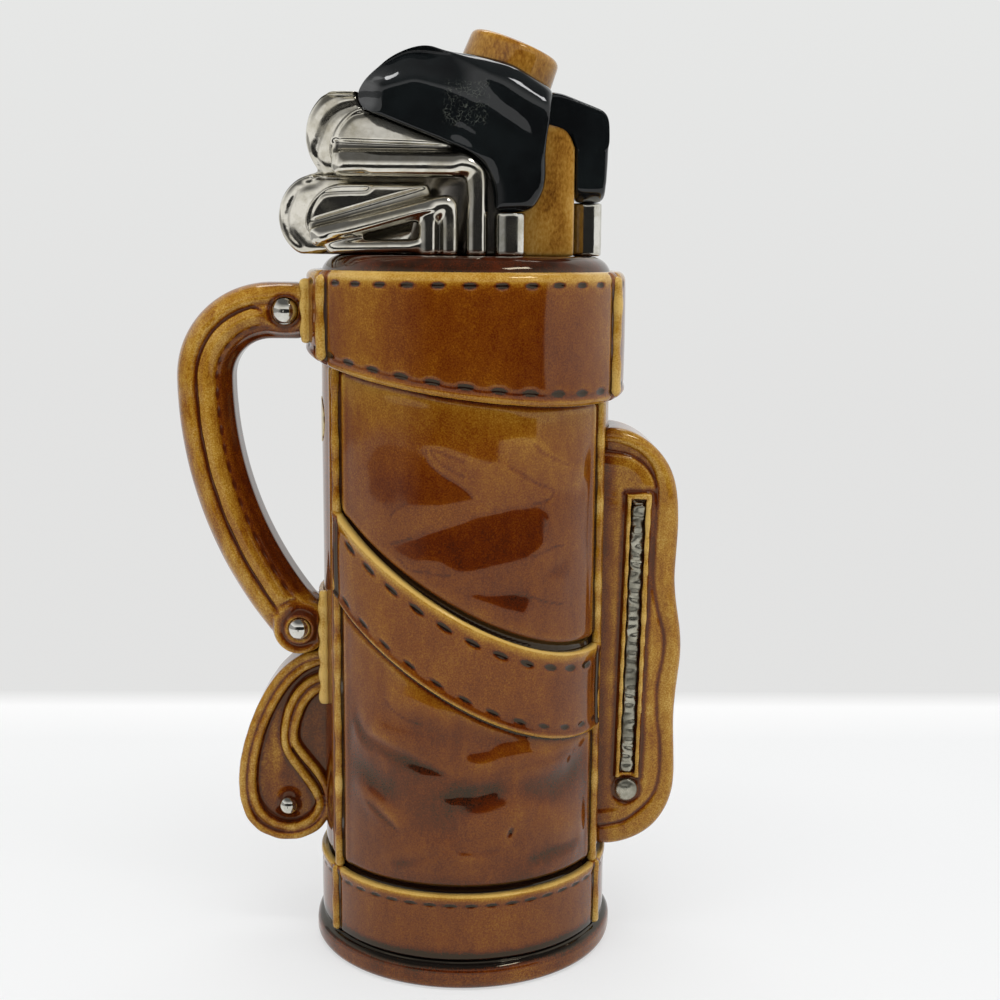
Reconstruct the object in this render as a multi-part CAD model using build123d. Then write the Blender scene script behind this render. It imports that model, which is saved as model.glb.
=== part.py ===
from build123d import *
from math import asin, cos, degrees, radians, sin, tan
import os

# A glazed stoneware liquor decanter in the shape of a golf bag full of clubs.
# Millimetres, +Z up. The origin is the centre of the foot's resting face, on the bag's axis.
# The front faces -Y, the handle is on -X and the side pocket on +X.
# The potter's pieces are cast apart and luted together, so each is a solid of its own.

# Bag body
body_radius = 41.0
wall = 4.0
floor_thickness = 5.0
floor_corner_radius = 6.0
shell_height = 187.0
overrun = 20.0  # how far a cutter reaches past what it cuts

# Foot
foot_height = 8.0
foot_flare = 3.0
foot_recess = 2.5
foot_sole_width = 6.0
foot_edge_radius = 1.6

# Bands round the bag, each laid on the body
bottom_band_height = 19.0
bottom_band_thickness = 1.2
band_edge_radius = 0.8
sash_width = 20.8
sash_thickness = 1.1
sash_mid_height = 107.0
sash_fall_right = 28.0  # degrees that the sash drops towards +X
sash_fall_front = 19.5  # degrees that it drops towards the front
cuff_thickness = 4.0
cuff_height = 28.0  # from the rim down to the lower edge, measured on the bag's axis
cuff_fall_right = 7.1
cuff_fall_front = 6.0
cuff_lip = 2.0  # how far the cuff's rim stands above the deck's edge
cuff_edge_radius = 1.8

# Piped seams, by their angle from the front, towards +X
seam_left_angle = -60.0
seam_right_angle = 66.0
body_seam_radius = 1.5
band_seam_radius = 1.3
cuff_seam_radius = 1.9

# Deck that closes the bag's mouth, between the rim and the clubs
deck_thickness = 5.0
deck_crown = 6.0
deck_flat_radius = 35.0

# Pouring neck, which leans towards the pocket side, and the core block beside it
mouth_reach = 10.7  # how far the mouth's centre lies towards +X
mouth_rise = 49.7  # its height above the deck
neck_tilt = 21.0  # degrees
neck_bore_radius = 9.0
neck_wall = 3.5
core_reach = 29.6
core_depth = 22.6
core_height = 36.0

# Stopper
cap_radius = 13.8
cap_height = 10.0
cap_edge_radius = 2.2
cork_length = 20.0
cork_top_radius = 8.8
cork_end_radius = 7.9
cork_socket_depth = 5.0
cap_clearance = 0.15  # between the cap and the clubs under its edge

# Woods
wood_half_depth = 22.0
wood_crown_drop = 10.0
wood_crown_setback = 11.0
driver_toe_reach = 40.7  # from the mouth's centre to the driver's toe
driver_length = 54.0
driver_height = 46.0
driver_neck_height = 15.0
driver_neck_depth = 9.2
driver_ferrule_radius = 4.3
driver_ferrule_height = 11.5
fairway_length = 21.0
fairway_height = 32.4
fairway_heel_reach = 39.0
fairway_half_depth = 14.0
fairway_neck_height = 14.0
fairway_neck_depth = 10.0
fairway_ferrule_radius = 4.3
fairway_ferrule_height = 14.7

# Irons: heel is the place of the hosel, rise is the height of the sole above the deck
club_front = 20.6  # the foremost surface of the irons
blade_thickness = 6.5
blade_edge_radius = 1.4
middle_half_depth = 10.0
middle_edge_radius = 2.0
upper_iron_length = 40.0
upper_iron_height = 20.0
upper_iron_rise = 20.5
upper_iron_heel = 2.7
upper_bar_radius = 3.7
upper_hosel_radius = 3.1
lower_iron_length = 39.0
lower_iron_height = 17.6
lower_iron_rise = 1.7
lower_iron_heel = -4.6
lower_bar_radius = 2.8
lower_hosel_radius = 2.5
wedge_length = 28.0
wedge_height = 13.0
wedge_heel = -10.4
wedge_bar_radius = 2.0
wedge_hosel_radius = 2.6
middle_upper_length = 36.0
middle_upper_height = 22.0
middle_upper_toe = 44.3
middle_lower_length = 48.0
middle_lower_height = 22.0
middle_lower_toe = 52.0

# Handle: its depth runs front to back
handle_width = 15.8
handle_depth = 19.6
handle_corner_radius = 6.4
handle_reach = 28.8  # from the cuff's face to the grip's centreline
handle_top_drop = 11.7  # from the cuff's rim down to the middle of the handle's root
handle_bend_radius = 19.0
handle_low_height = 94.1
handle_groove_radius = 0.9
handle_groove_offset = 2.0
lug_radius = 8.2
lug_stand_off = 6.4
lug_depth = 21.2
lug_edge_radius = 4.0
plate_thickness = 1.5
plate_half_width = 12.0
upper_plate_height = 16.6
lower_plate_height = 32.4
lower_plate_drop = 21.3  # from the lug's centre down to the plate's foot

# Rivets, on the front and the back alike
handle_rivet_radius = 3.6
lug_rivet_radius = 3.2
loop_rivet_radius = 2.6
rivet_dome_share = 0.55
rivet_seat_depth = 2.6
rivet_rim_gap = 0.3  # between the handle's rivets and the plate beside them
loop_rivet_stand_off = 10.8
loop_rivet_rise = 10.9

# Hanging strap loop under the handle
loop_reach = 25.9
loop_low_height = 28.5
loop_height = 59.5
loop_depth = 14.0
loop_edge_radius = 1.6
loop_web_depth = 8.0

# Side pocket
pocket_reach = 21.4
pocket_low_height = 29.2
pocket_height = 124.0
pocket_depth = 24.0
pocket_edge_radius = 2.4
pocket_field_drop = 1.0
zip_length = 84.0
zip_width = 7.0
zip_reach = 7.4  # from the body's side to the middle of the zip
zip_mid_height = 92.4
zip_lean = 1.2  # degrees that the zip leans towards +X at its top
zip_rail_width = 1.5
zip_rail_height = 1.3
zip_web_height = 0.6
zip_tooth_height = 1.1
zip_tooth_pitch = 2.6
zip_tooth_share = 0.5
zip_pull_radius = 3.4
zip_pull_height = 2.0
zip_pull_gap = 0.3
zip_pull_hole_radius = 1.0

# Blank foil seal on the body, beside the handle
seal_width = 12.4
seal_height = 12.8
seal_thickness = 0.2
seal_mid_height = 154.3
seal_angle = -84.0

# Heights and radii that follow
shell_base = foot_recess
shell_top = shell_base + shell_height
deck_rim = shell_top + deck_thickness
deck_top = deck_rim + deck_crown
cuff_top = deck_rim + cuff_lip
cuff_low_height = cuff_top - cuff_height
cuff_radius = body_radius + cuff_thickness
foot_radius = body_radius + foot_flare
band_radius = body_radius + bottom_band_thickness
band_top = foot_height + bottom_band_height
neck_radius = neck_bore_radius + neck_wall
mouth_height = deck_top + mouth_rise
handle_top_height = cuff_top - handle_top_drop
handle_rivet_stand_off = plate_thickness + rivet_rim_gap + handle_rivet_radius
upper_plate_low = handle_top_height - upper_plate_height / 2
lower_plate_low = handle_low_height - lower_plate_drop
far = mouth_height + overrun

mouth = Vector(mouth_reach, 0, mouth_height)
neck_axis = Vector(sin(radians(neck_tilt)), 0, cos(radians(neck_tilt)))
crown_run = Vector(cos(radians(neck_tilt)), 0, -sin(radians(neck_tilt)))
mouth_plane = Plane(origin=mouth, x_dir=crown_run, z_dir=neck_axis)
crown_section = Plane(origin=mouth, x_dir=(0, 1, 0), z_dir=crown_run)

seam_angles = {
    "front_left": seam_left_angle,
    "front_right": seam_right_angle,
    "back_left": 180 - seam_left_angle,
    "back_right": 180 - seam_right_angle,
}

# Outlines, seen from the front: shares of the piece's length and of its height
driver_toe_shares = [(0.41, 1.0), (0.14, 0.9), (0.0, 0.68)]
driver_toe_under_shares = [(0.0, 0.68), (0.035, 0.6), (0.11, 0.555)]
driver_belly_shares = [(0.11, 0.555), (0.34, 0.45), (0.555, 0.355)]
driver_throat_shares = [(0.555, 0.355), (0.65, 0.25), (0.685, 0.0)]
driver_nape_shares = [(0.863, 0.0), (0.92, 0.26), (0.97, 0.55)]
driver_crown_end_share = (1.0, 0.74)

fairway_left_share = (0.545, 0.0)
fairway_throat_shares = [(0.52, 0.45), (0.45, 0.56), (0.27, 0.63)]
fairway_head_left_shares = [(0.0, 0.66), (0.0, 1.0)]
fairway_toe_shares = [(0.8, 0.8), (0.94, 0.745), (0.99, 0.64)]
fairway_right_shares = [(1.0, 0.37), (0.96, 0.0)]

upper_toe_shares = [(0.0, 0.2), (0.07, 0.74), (0.26, 0.99)]
upper_top_shares = [(1.0, 0.6), (1.0, 0.2)]
upper_sole_shares = [(0.1, 0.185), (1.0, 0.185)]
lower_toe_shares = [(0.0, 0.2), (0.06, 0.78), (0.25, 0.99)]
lower_top_shares = [(0.85, 0.99), (0.9, 0.7)]
lower_sole_shares = [(0.08, 0.17), (1.0, 0.7)]
wedge_sole_shares = [(0.08, 0.16), (1.0, 0.2)]
middle_toe_shares = [(0.12, 0.0), (0.0, 0.4), (0.13, 0.95), (0.2, 1.0)]

loop_outer_shares = [(0.45, 0.976), (0.564, 0.889), (0.73, 0.746), (0.849, 0.632), (0.958, 0.486), (1.0, 0.329),
                     (0.973, 0.187), (0.873, 0.091), (0.691, 0.022), (0.436, 0.0), (0.178, 0.022), (0.0, 0.076)]
loop_leaf_shares = [(0.08, 0.24), (0.15, 0.29), (0.32, 0.388), (0.452, 0.471), (0.459, 0.558), (0.409, 0.66),
                    (0.297, 0.751), (0.16, 0.802), (0.08, 0.822)]
pocket_outline_shares = [(0.05, 0.998), (0.44, 0.975), (0.8, 0.905), (0.92, 0.82), (0.925, 0.72), (0.91, 0.64),
                         (0.965, 0.55), (1.0, 0.48), (0.965, 0.38), (0.94, 0.29), (0.95, 0.2), (0.9, 0.11),
                         (0.68, 0.045), (0.38, 0.012), (0.08, 0.0)]
pocket_field_shares = [(0.03, 0.97), (0.25, 0.959), (0.46, 0.936), (0.6, 0.9), (0.63, 0.832), (0.584, 0.7),
                       (0.575, 0.62), (0.673, 0.55), (0.75, 0.477), (0.696, 0.406), (0.68, 0.356), (0.715, 0.283),
                       (0.725, 0.185), (0.64, 0.135), (0.44, 0.103), (0.1, 0.081)]

resting = (Align.CENTER, Align.CENTER, Align.MIN)


def post(radius, low, high):
    """A solid cylinder on the bag's axis."""
    return Pos(0, 0, low) * Cylinder(radius, high - low, align=resting)


def tube(outer, inner, low, high):
    return post(outer, low, high) - post(inner, low, high)


def neck_post(radius):
    """A cylinder along the neck, from below the deck up to the mouth."""
    length = mouth_rise + deck_crown + deck_thickness + overrun
    return mouth_plane * Pos(0, 0, -length) * Cylinder(radius, length, align=resting)


def block(x_from, x_to, y_from, y_to, z_from, z_to):
    corner = (Align.MIN, Align.MIN, Align.MIN)
    return Pos(x_from, y_from, z_from) * Box(x_to - x_from, y_to - y_from, z_to - z_from, align=corner)


def falling_plane(height, fall_right, fall_front):
    """A plane through the bag's axis that drops towards +X and towards the front."""
    normal = Vector(tan(radians(fall_right)), -tan(radians(fall_front)), 1)
    return Plane(origin=(0, 0, height), z_dir=normal)


def above(plane):
    """All that lies over a plane."""
    return plane * Box(2 * far, 2 * far, far, align=resting)


def at_angle(radius, angle):
    """A point on a circle round the bag, by its angle from the front towards +X."""
    return radius * sin(radians(angle)), -radius * cos(radians(angle))


def sector(angle_from, angle_to):
    """A wedge round the bag's axis, as tall as the bag."""
    edge = cuff_radius + overrun
    middle = (angle_from + angle_to) / 2
    corners = [(0, 0), at_angle(edge, angle_from), at_angle(2 * edge, middle), at_angle(edge, angle_to)]
    return extrude(make_face(Polyline(*corners, close=True)), amount=deck_top)


def sized(shares, length, height, start_x, start_z):
    """Outline points from shares of a length and a height. A negative length runs towards -X."""
    return [(start_x + length * along, start_z + height * up) for along, up in shares]


def outline(*stretches):
    """A closed face. A stretch of three points is an arc, one of more a spline, and lines join them."""
    edges = []
    for number, points in enumerate(stretches):
        if len(points) == 3:
            edges.append(ThreePointArc(*points))
        elif len(points) > 3:
            edges.append(Spline(*points))
        elif len(points) == 2:
            edges.append(Line(*points))
        next_start = stretches[(number + 1) % len(stretches)][0]
        if (Vector(*points[-1]) - Vector(*next_start)).length > 0:
            edges.append(Line(points[-1], next_start))
    return make_face(edges)


def slab(face, near, depth):
    """A face seen from the front, given thickness towards the front from a distance before the middle."""
    return Pos(0, -near, 0) * extrude(Plane.XZ * face, amount=depth)


def even_slab(face, depth):
    return slab(face, -depth / 2, depth)


def capsule(start, end, radius):
    """A round bar with ball ends."""
    run = Vector(*end) - Vector(*start)
    round_share = sin(radians(45))
    low_end = [(0, -radius), (radius * round_share, -radius * round_share), (radius, 0)]
    high_end = [(x, run.length - z) for x, z in reversed(low_end)]
    bar = revolve(Plane.XZ * outline(low_end, high_end), Axis.Z)
    return Plane(origin=start, z_dir=run) * bar


def twin(shape):
    """The same piece on the back."""
    return mirror(shape, about=Plane.XZ)


def without(shape, *others):
    """What is left of a piece after its neighbours have taken their room."""
    for other in others:
        shape = shape - other
    return shape


def domed_pin(radius, seat):
    """A rivet along +Z, the rim of its domed head at the origin."""
    dome = radius * rivet_dome_share
    ball_radius = (radius**2 + dome**2) / (2 * dome)
    ball = Pos(0, 0, dome - ball_radius) * Sphere(ball_radius)
    return ball & post(radius, -seat, dome)


def rivet_pair(x, z, face, radius):
    """A rivet on the front and its twin on the back, each let into a piece with that face."""
    front = Plane(origin=(x, -face, z), z_dir=(0, -1, 0)) * domed_pin(radius, rivet_seat_depth)
    return [front, twin(front)]


def rivet_holes(x, z, face, radius):
    """The seats of a pair of rivets, open to the outside."""
    front = Plane(origin=(x, -face, z), z_dir=(0, -1, 0)) * post(radius, -rivet_seat_depth, overrun)
    return [front, twin(front)]


def make_bag_shell():
    shell = post(body_radius, shell_base, shell_top)
    cavity = post(body_radius - wall, shell_base + floor_thickness, shell_top + overrun)
    return shell - fillet(cavity.faces().sort_by(Axis.Z)[0].edges(), floor_corner_radius)


def make_foot_ring():
    """The flange stands round the body, and its sole carries the body's floor."""
    flange = post(foot_radius, 0, foot_height)
    flange = fillet(flange.edges().filter_by(GeomType.CIRCLE), foot_edge_radius)
    flange = flange - post(body_radius, shell_base, foot_height + overrun)
    return flange - post(body_radius - foot_sole_width, -overrun, foot_height)


def make_bottom_band():
    band = post(band_radius, foot_height, band_top)
    band = fillet(band.edges().filter_by(GeomType.CIRCLE), band_edge_radius)
    return band - post(body_radius, foot_height - overrun, band_top + overrun)


def make_top_cuff():
    cuff = post(cuff_radius, cuff_low_height - overrun, cuff_top)
    cuff = fillet(cuff.faces().sort_by(Axis.Z)[-1].edges(), cuff_edge_radius)
    cuff = cuff - post(body_radius, cuff_low_height - 2 * overrun, cuff_top + overrun)
    return cuff & above(cuff_plane)


def make_sash(angle_from, angle_to):
    band = tube(body_radius + sash_thickness, body_radius, band_top, cuff_top)
    slanted = sash_plane * Box(2 * far, 2 * far, sash_width)
    return without(band & slanted & sector(angle_from, angle_to), *body_seams.values())


def make_seam(angle, ground, radius, low, high):
    """A round bead that lies half out of a round wall."""
    bead = Pos(*at_angle(ground, angle), low) * Cylinder(radius, high - low, align=resting)
    return bead - post(ground, low - overrun, high + overrun)


def make_bag_deck():
    """A disc in the bag's mouth that rises in a quarter round to a flat top, bored for the neck."""
    rise = body_radius - deck_flat_radius
    round_share = sin(radians(45))
    shoulder = (deck_flat_radius + rise * round_share, deck_rim + deck_crown * round_share)
    side = [(body_radius, deck_rim), shoulder, (deck_flat_radius, deck_top)]
    profile = outline(side, [(0, deck_top), (0, shell_top)], [(body_radius, shell_top), (body_radius, deck_rim)])
    return revolve(Plane.XZ * profile, Axis.Z) - neck_post(neck_bore_radius)


def make_pour_neck():
    """The pouring tube and the core block that stands beside it, in one casting."""
    core = block(0, core_reach, -core_depth / 2, core_depth / 2, deck_top, deck_top + core_height)
    neck = neck_post(neck_radius) + core
    return (neck & above(Plane.XY.offset(deck_top))) - neck_post(neck_bore_radius)


def crown_block(half_depth, setback):
    """The room that a wood's crown fills: flat under the cap's edge, rounding off to the front and back."""
    drop = wood_crown_drop * (half_depth - setback) / (wood_half_depth - wood_crown_setback)
    round_share = sin(radians(45))
    width = half_depth - setback
    front = [(-half_depth, -drop), (-setback - width * round_share, -drop * (1 - round_share)), (-setback, 0)]
    back = [(-y, z) for y, z in reversed(front)]
    floor = [(half_depth, -far), (-half_depth, -far)]
    section = Pos(0, -cap_clearance) * outline(front, back, floor)
    return extrude(crown_section * section, amount=far, both=True)


def make_driver():
    """The front wood: a deep head over the neck's mouth, and its own slim neck."""
    at = (driver_length, driver_height, mouth_reach - driver_toe_reach, deck_top + driver_ferrule_height)
    face = outline(
        sized(driver_toe_shares, *at),
        sized(driver_toe_under_shares, *at),
        sized(driver_belly_shares, *at),
        sized(driver_throat_shares, *at),
        sized(driver_nape_shares, *at),
        sized([driver_crown_end_share], *at),
    )
    head_low = deck_top + driver_ferrule_height + driver_neck_height
    solid = slab(face, 0, wood_half_depth)
    neck_back = club_front - driver_neck_depth
    solid = solid - block(-far, far, -neck_back, far, 0, head_low)
    solid = solid - block(-far, far, -far, -club_front, 0, head_low)
    solid = solid & crown_block(wood_half_depth, wood_crown_setback)
    return without(solid, neck_post(neck_radius), pour_neck).solids().sort_by(SortBy.VOLUME)[-1]


def make_fairway_wood():
    """The wood at the pocket side, between the front and the back of the bag."""
    at = (fairway_length, fairway_height, fairway_heel_reach - fairway_length, deck_top + fairway_ferrule_height)
    face = outline(
        sized([fairway_left_share], *at),
        sized(fairway_throat_shares, *at),
        sized(fairway_head_left_shares, *at),
        sized(fairway_toe_shares, *at),
        sized(fairway_right_shares, *at),
    )
    solid = even_slab(face, 2 * fairway_half_depth)
    head_low = deck_top + fairway_ferrule_height + fairway_neck_height
    for side_from, side_to in ((fairway_neck_depth / 2, far), (-far, -fairway_neck_depth / 2)):
        solid = solid - block(-far, far, side_from, side_to, 0, head_low)
    solid = solid & crown_block(fairway_half_depth, wood_crown_setback)
    solid = without(solid, neck_post(neck_radius), pour_neck, front_driver, back_driver)
    return solid.solids().sort_by(SortBy.VOLUME)[-1]


def make_iron(toe, top, sole, heel, bar_radius, hosel_radius):
    """A blade with a round bar along its sole, which turns down at the heel into the hosel."""
    back = middle_half_depth
    blade = slab(outline(toe, top), back, blade_thickness)
    blade = fillet(blade.faces().sort_by(Axis.Y)[0].edges(), blade_edge_radius)
    start, end = [(x, bar_radius - club_front, z) for x, z in sole]
    hosel = Pos(heel, end[1], deck_top) * Cylinder(hosel_radius, end[2] - deck_top, align=resting)
    return blade + capsule(start, end, bar_radius) + hosel


def make_upper_iron():
    at = (upper_iron_length, upper_iron_height, upper_iron_heel - upper_iron_length, deck_top + upper_iron_rise)
    toe, top, sole = [sized(s, *at) for s in (upper_toe_shares, upper_top_shares, upper_sole_shares)]
    iron = make_iron(toe, top, sole, upper_iron_heel, upper_bar_radius, upper_hosel_radius)
    iron = without(iron, front_driver, neck_post(neck_radius), pour_neck)
    return iron.solids().sort_by(SortBy.VOLUME)[-1]


def make_lower_iron():
    at = (lower_iron_length, lower_iron_height, lower_iron_heel - lower_iron_length, deck_top + lower_iron_rise)
    toe, top, sole = [sized(s, *at) for s in (lower_toe_shares, lower_top_shares, lower_sole_shares)]
    iron = make_iron(toe, top, sole, lower_iron_heel, lower_bar_radius, lower_hosel_radius)
    iron = without(iron, front_driver, front_upper_iron, neck_post(neck_radius), pour_neck)
    return iron.solids().sort_by(SortBy.VOLUME)[-1]


def make_wedge():
    """The lowest club: only its sole bar and hosel show over the rim."""
    at = (wedge_length, wedge_height, wedge_heel - wedge_length, deck_top)
    start, end = [(x, wedge_hosel_radius - club_front, z) for x, z in sized(wedge_sole_shares, *at)]
    hosel = Pos(wedge_heel, end[1], deck_top) * Cylinder(wedge_hosel_radius, wedge_height, align=resting)
    wedge = (capsule(start, end, wedge_bar_radius) + hosel) & above(Plane.XY.offset(deck_top))
    wedge = without(wedge, front_upper_iron, front_lower_iron)
    return wedge.solids().sort_by(SortBy.VOLUME)[-1]


def make_middle_iron(length, height, toe, low):
    """A deeper blade behind the front ones, whose toe looks past them."""
    left, tip, shoulder, top = sized(middle_toe_shares, length, height, -toe, low)
    right_low = (length - toe, low)
    right_high = (length - toe, low + height)
    blade = even_slab(outline([left, tip, shoulder], [top, right_high], [right_low, left]), 2 * middle_half_depth)
    faces = blade.faces().sort_by(Axis.Y)
    blade = fillet(faces[0].edges() + faces[-1].edges(), middle_edge_radius)
    return without(blade, neck_post(neck_radius), pour_neck, front_driver, back_driver)


def make_handle_strap():
    """Out from the cuff, round the bend and down the long curve of the grip to a round lug."""
    section = RectangleRounded(handle_width, handle_depth, handle_corner_radius)
    for face in (-handle_depth / 2, handle_depth / 2):
        section = section - Pos(handle_groove_offset, face) * Circle(handle_groove_radius)
    grip_x = -(cuff_radius + handle_reach)
    bend_centre = (grip_x + handle_bend_radius, 0, handle_top_height - handle_bend_radius)
    run_in = lug_centre[0] - grip_x
    run_down = bend_centre[2] - handle_low_height
    grip_radius = (run_in**2 + run_down**2) / (2 * run_in)
    grip_centre = (grip_x + grip_radius, 0, bend_centre[2])
    grip_angle = degrees(asin(run_down / grip_radius))

    root_place = Plane(origin=(bend_centre[0], 0, handle_top_height), x_dir=(0, 0, 1), z_dir=(1, 0, 0))
    root = extrude(root_place * section, amount=-bend_centre[0] - body_radius + wall)
    bend = revolve(root_place * section, Axis(bend_centre, (0, -1, 0)), 90)
    grip_place = Plane(origin=(grip_x, 0, bend_centre[2]), x_dir=(-1, 0, 0), z_dir=(0, 0, 1))
    grip = revolve(grip_place * section, Axis(grip_centre, (0, -1, 0)), grip_angle)
    lug = Cylinder(lug_radius, lug_depth)
    lug = fillet(lug.edges().filter_by(GeomType.CIRCLE), lug_edge_radius)
    strap = root + bend + grip + Plane(origin=lug_centre, z_dir=(0, 1, 0)) * lug

    strap = without(strap, *rivet_holes(*handle_rivet_place), *rivet_holes(*lug_rivet_place))
    strap = without(strap, upper_plate_room, lower_plate_room)
    strap = without(strap, post(cuff_radius, cuff_low_height - overrun, deck_top), post(body_radius, 0, deck_top))
    return strap.solids().sort_by(SortBy.VOLUME)[-1]


def plate_room(ground, low, height):
    """A leather tab on the handle side, and the bag behind it as far as the axis."""
    room = post(ground + plate_thickness, low, low + height)
    return room & block(-far, 0, -plate_half_width, plate_half_width, low, low + height)


def make_strap_loop():
    """A doubled strap with a thinner web in the leaf-shaped eye that it goes round."""
    at = (-loop_reach, loop_height, -body_radius, loop_low_height)
    root = -(body_radius - wall)
    outer = sized(loop_outer_shares, *at)
    loop = even_slab(outline(outer, [(root, outer[-1][1]), (root, outer[0][1])]), loop_depth)
    rims = [loop.faces().sort_by(Axis.Y)[place].edges().sort_by(SortBy.LENGTH)[-1] for place in (0, -1)]
    loop = fillet(rims, loop_edge_radius)
    eye = outline(sized(loop_leaf_shares, *at))
    recess = slab(eye, loop_web_depth / 2, overrun)
    loop = without(loop, recess, twin(recess), lower_plate_room, post(body_radius, 0, deck_top))
    loop = without(loop, handle_strap, *rivet_holes(*loop_rivet_place))
    return loop.solids().sort_by(SortBy.VOLUME)[-1]


def make_side_pocket():
    """The bulging pocket: a rim round a lower field, with the zip's rails on both faces."""
    at = (pocket_reach, pocket_height, body_radius, pocket_low_height)
    root = body_radius - wall
    outer = sized(pocket_outline_shares, *at)
    pocket = even_slab(outline(outer, [(root, outer[-1][1]), (root, outer[0][1])]), pocket_depth)
    rims = [pocket.faces().sort_by(Axis.Y)[place].edges().sort_by(SortBy.LENGTH)[-1] for place in (0, -1)]
    pocket = fillet(rims, pocket_edge_radius)
    inner = sized(pocket_field_shares, *at)
    field = slab(outline(inner, [(root, inner[-1][1]), (root, inner[0][1])]), pocket_face, overrun)
    rails = zip_strip(zip_length, zip_width, zip_rail_height)
    inner_length = zip_length - 2 * zip_rail_width
    rails = rails - zip_strip(inner_length, zip_width - 2 * zip_rail_width, zip_rail_height + overrun)
    zip_room = zip_strip(zip_length, zip_width, overrun)
    zip_room = zip_room + pull_place * Cylinder(zip_pull_radius, overrun, align=resting)
    cuff_room = post(cuff_radius, 0, deck_top) & above(cuff_plane)
    pocket = without(pocket, field, twin(field), zip_room, twin(zip_room), cuff_room)
    pocket = pocket - post(body_radius, 0, deck_top)
    return pocket + rails + twin(rails)


def zip_strip(length, width, height):
    """A bar that lies along the zip on the pocket's front field."""
    bar = Box(width, length, height, align=resting)
    return zip_place * bar


def make_zip_teeth():
    """The strip between the rails, with a row of teeth across it, on both faces."""
    length = zip_length - 2 * zip_rail_width
    width = zip_width - 2 * zip_rail_width
    teeth = zip_strip(length, width, zip_web_height)
    count = int(length / zip_tooth_pitch)
    for number in range(count):
        along = (number + 0.5 - count / 2) * zip_tooth_pitch
        teeth = teeth + zip_place * Pos(0, along, 0) * Box(
            width * zip_tooth_share, zip_tooth_pitch * zip_tooth_share, zip_tooth_height, align=resting)
    return [teeth, twin(teeth)]


def make_zip_pulls():
    """A small ring under each zip, lying on the pocket's field."""
    ring = Cylinder(zip_pull_radius, zip_pull_height, align=resting)
    pull = pull_place * (ring - Cylinder(zip_pull_hole_radius, 3 * zip_pull_height))
    return [pull, twin(pull)]


def make_stopper_cap():
    cap = Cylinder(cap_radius, cap_height, align=resting)
    cap = fillet(cap.faces().sort_by(Axis.Z)[-1].edges(), cap_edge_radius)
    return mouth_plane * (cap - Cylinder(cork_top_radius, 2 * cork_socket_depth))


def make_stopper_cork():
    """A tapered cork whose upper end is glued in the cap's socket."""
    glued = Cylinder(cork_top_radius, cork_socket_depth, align=resting)
    taper = Pos(0, 0, -cork_length) * Cone(cork_end_radius, cork_top_radius, cork_length, align=resting)
    return mouth_plane * (glued + taper)


def make_foil_seal():
    """An oval of foil, bent to the body's round."""
    outward = Vector(*at_angle(1, seal_angle), 0)
    place = Plane(origin=(0, 0, seal_mid_height), x_dir=outward.cross(Vector(0, 0, 1)), z_dir=outward)
    oval = extrude(place * Ellipse(seal_width / 2, seal_height / 2), amount=far)
    return tube(body_radius + seal_thickness, body_radius, band_top, cuff_top) & oval


cuff_plane = falling_plane(cuff_low_height, cuff_fall_right, cuff_fall_front)
sash_plane = falling_plane(sash_mid_height, sash_fall_right, sash_fall_front)
lug_centre = (-(body_radius + lug_stand_off), 0, handle_low_height)
pocket_face = pocket_depth / 2 - pocket_field_drop
zip_up = Vector(sin(radians(zip_lean)), 0, cos(radians(zip_lean)))
zip_across = Vector(cos(radians(zip_lean)), 0, -sin(radians(zip_lean)))
zip_place = Plane(origin=(body_radius + zip_reach, -pocket_face, zip_mid_height), x_dir=zip_across, z_dir=(0, -1, 0))
pull_place = zip_place * Pos(0, -zip_length / 2 - zip_pull_gap - zip_pull_radius, 0)

body_seams = {}
band_seams = {}
cuff_seams = {}
for place, angle in seam_angles.items():
    tall = make_seam(angle, body_radius, body_seam_radius, band_top, shell_top)
    body_seams[place] = tall - above(cuff_plane)
    band_seams[place] = make_seam(angle, band_radius, band_seam_radius, foot_height, band_top - band_edge_radius)
    tall = make_seam(angle, cuff_radius, cuff_seam_radius, cuff_low_height - overrun, cuff_top - cuff_edge_radius)
    cuff_seams[place] = tall & above(cuff_plane)

pour_neck = make_pour_neck()
front_driver = make_driver()
back_driver = twin(front_driver)
front_upper_iron = make_upper_iron()
front_lower_iron = make_lower_iron()
front_wedge = make_wedge()
driver_neck_x = mouth_reach - driver_toe_reach + driver_length * (driver_throat_shares[-1][0]
                                                                  + driver_nape_shares[0][0]) / 2
driver_ferrule = Pos(driver_neck_x, driver_ferrule_radius - club_front, deck_top) * Cylinder(
    driver_ferrule_radius, driver_ferrule_height, align=resting)
fairway_neck_x = fairway_heel_reach - fairway_length * (1 - (fairway_left_share[0]
                                                             + fairway_right_shares[-1][0]) / 2)
fairway_ferrule = Pos(fairway_neck_x, 0, deck_top) * Cylinder(
    fairway_ferrule_radius, fairway_ferrule_height, align=resting)

handle_rivet_place = (-(cuff_radius + handle_rivet_stand_off), handle_top_height, handle_depth / 2,
                      handle_rivet_radius)
lug_rivet_place = (lug_centre[0], handle_low_height, lug_depth / 2, lug_rivet_radius)
loop_rivet_place = (-(body_radius + loop_rivet_stand_off), loop_low_height + loop_rivet_rise, loop_depth / 2,
                    loop_rivet_radius)
upper_plate_room = plate_room(cuff_radius, upper_plate_low, upper_plate_height)
lower_plate_room = plate_room(body_radius, lower_plate_low, lower_plate_height)
handle_strap = make_handle_strap()

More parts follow.
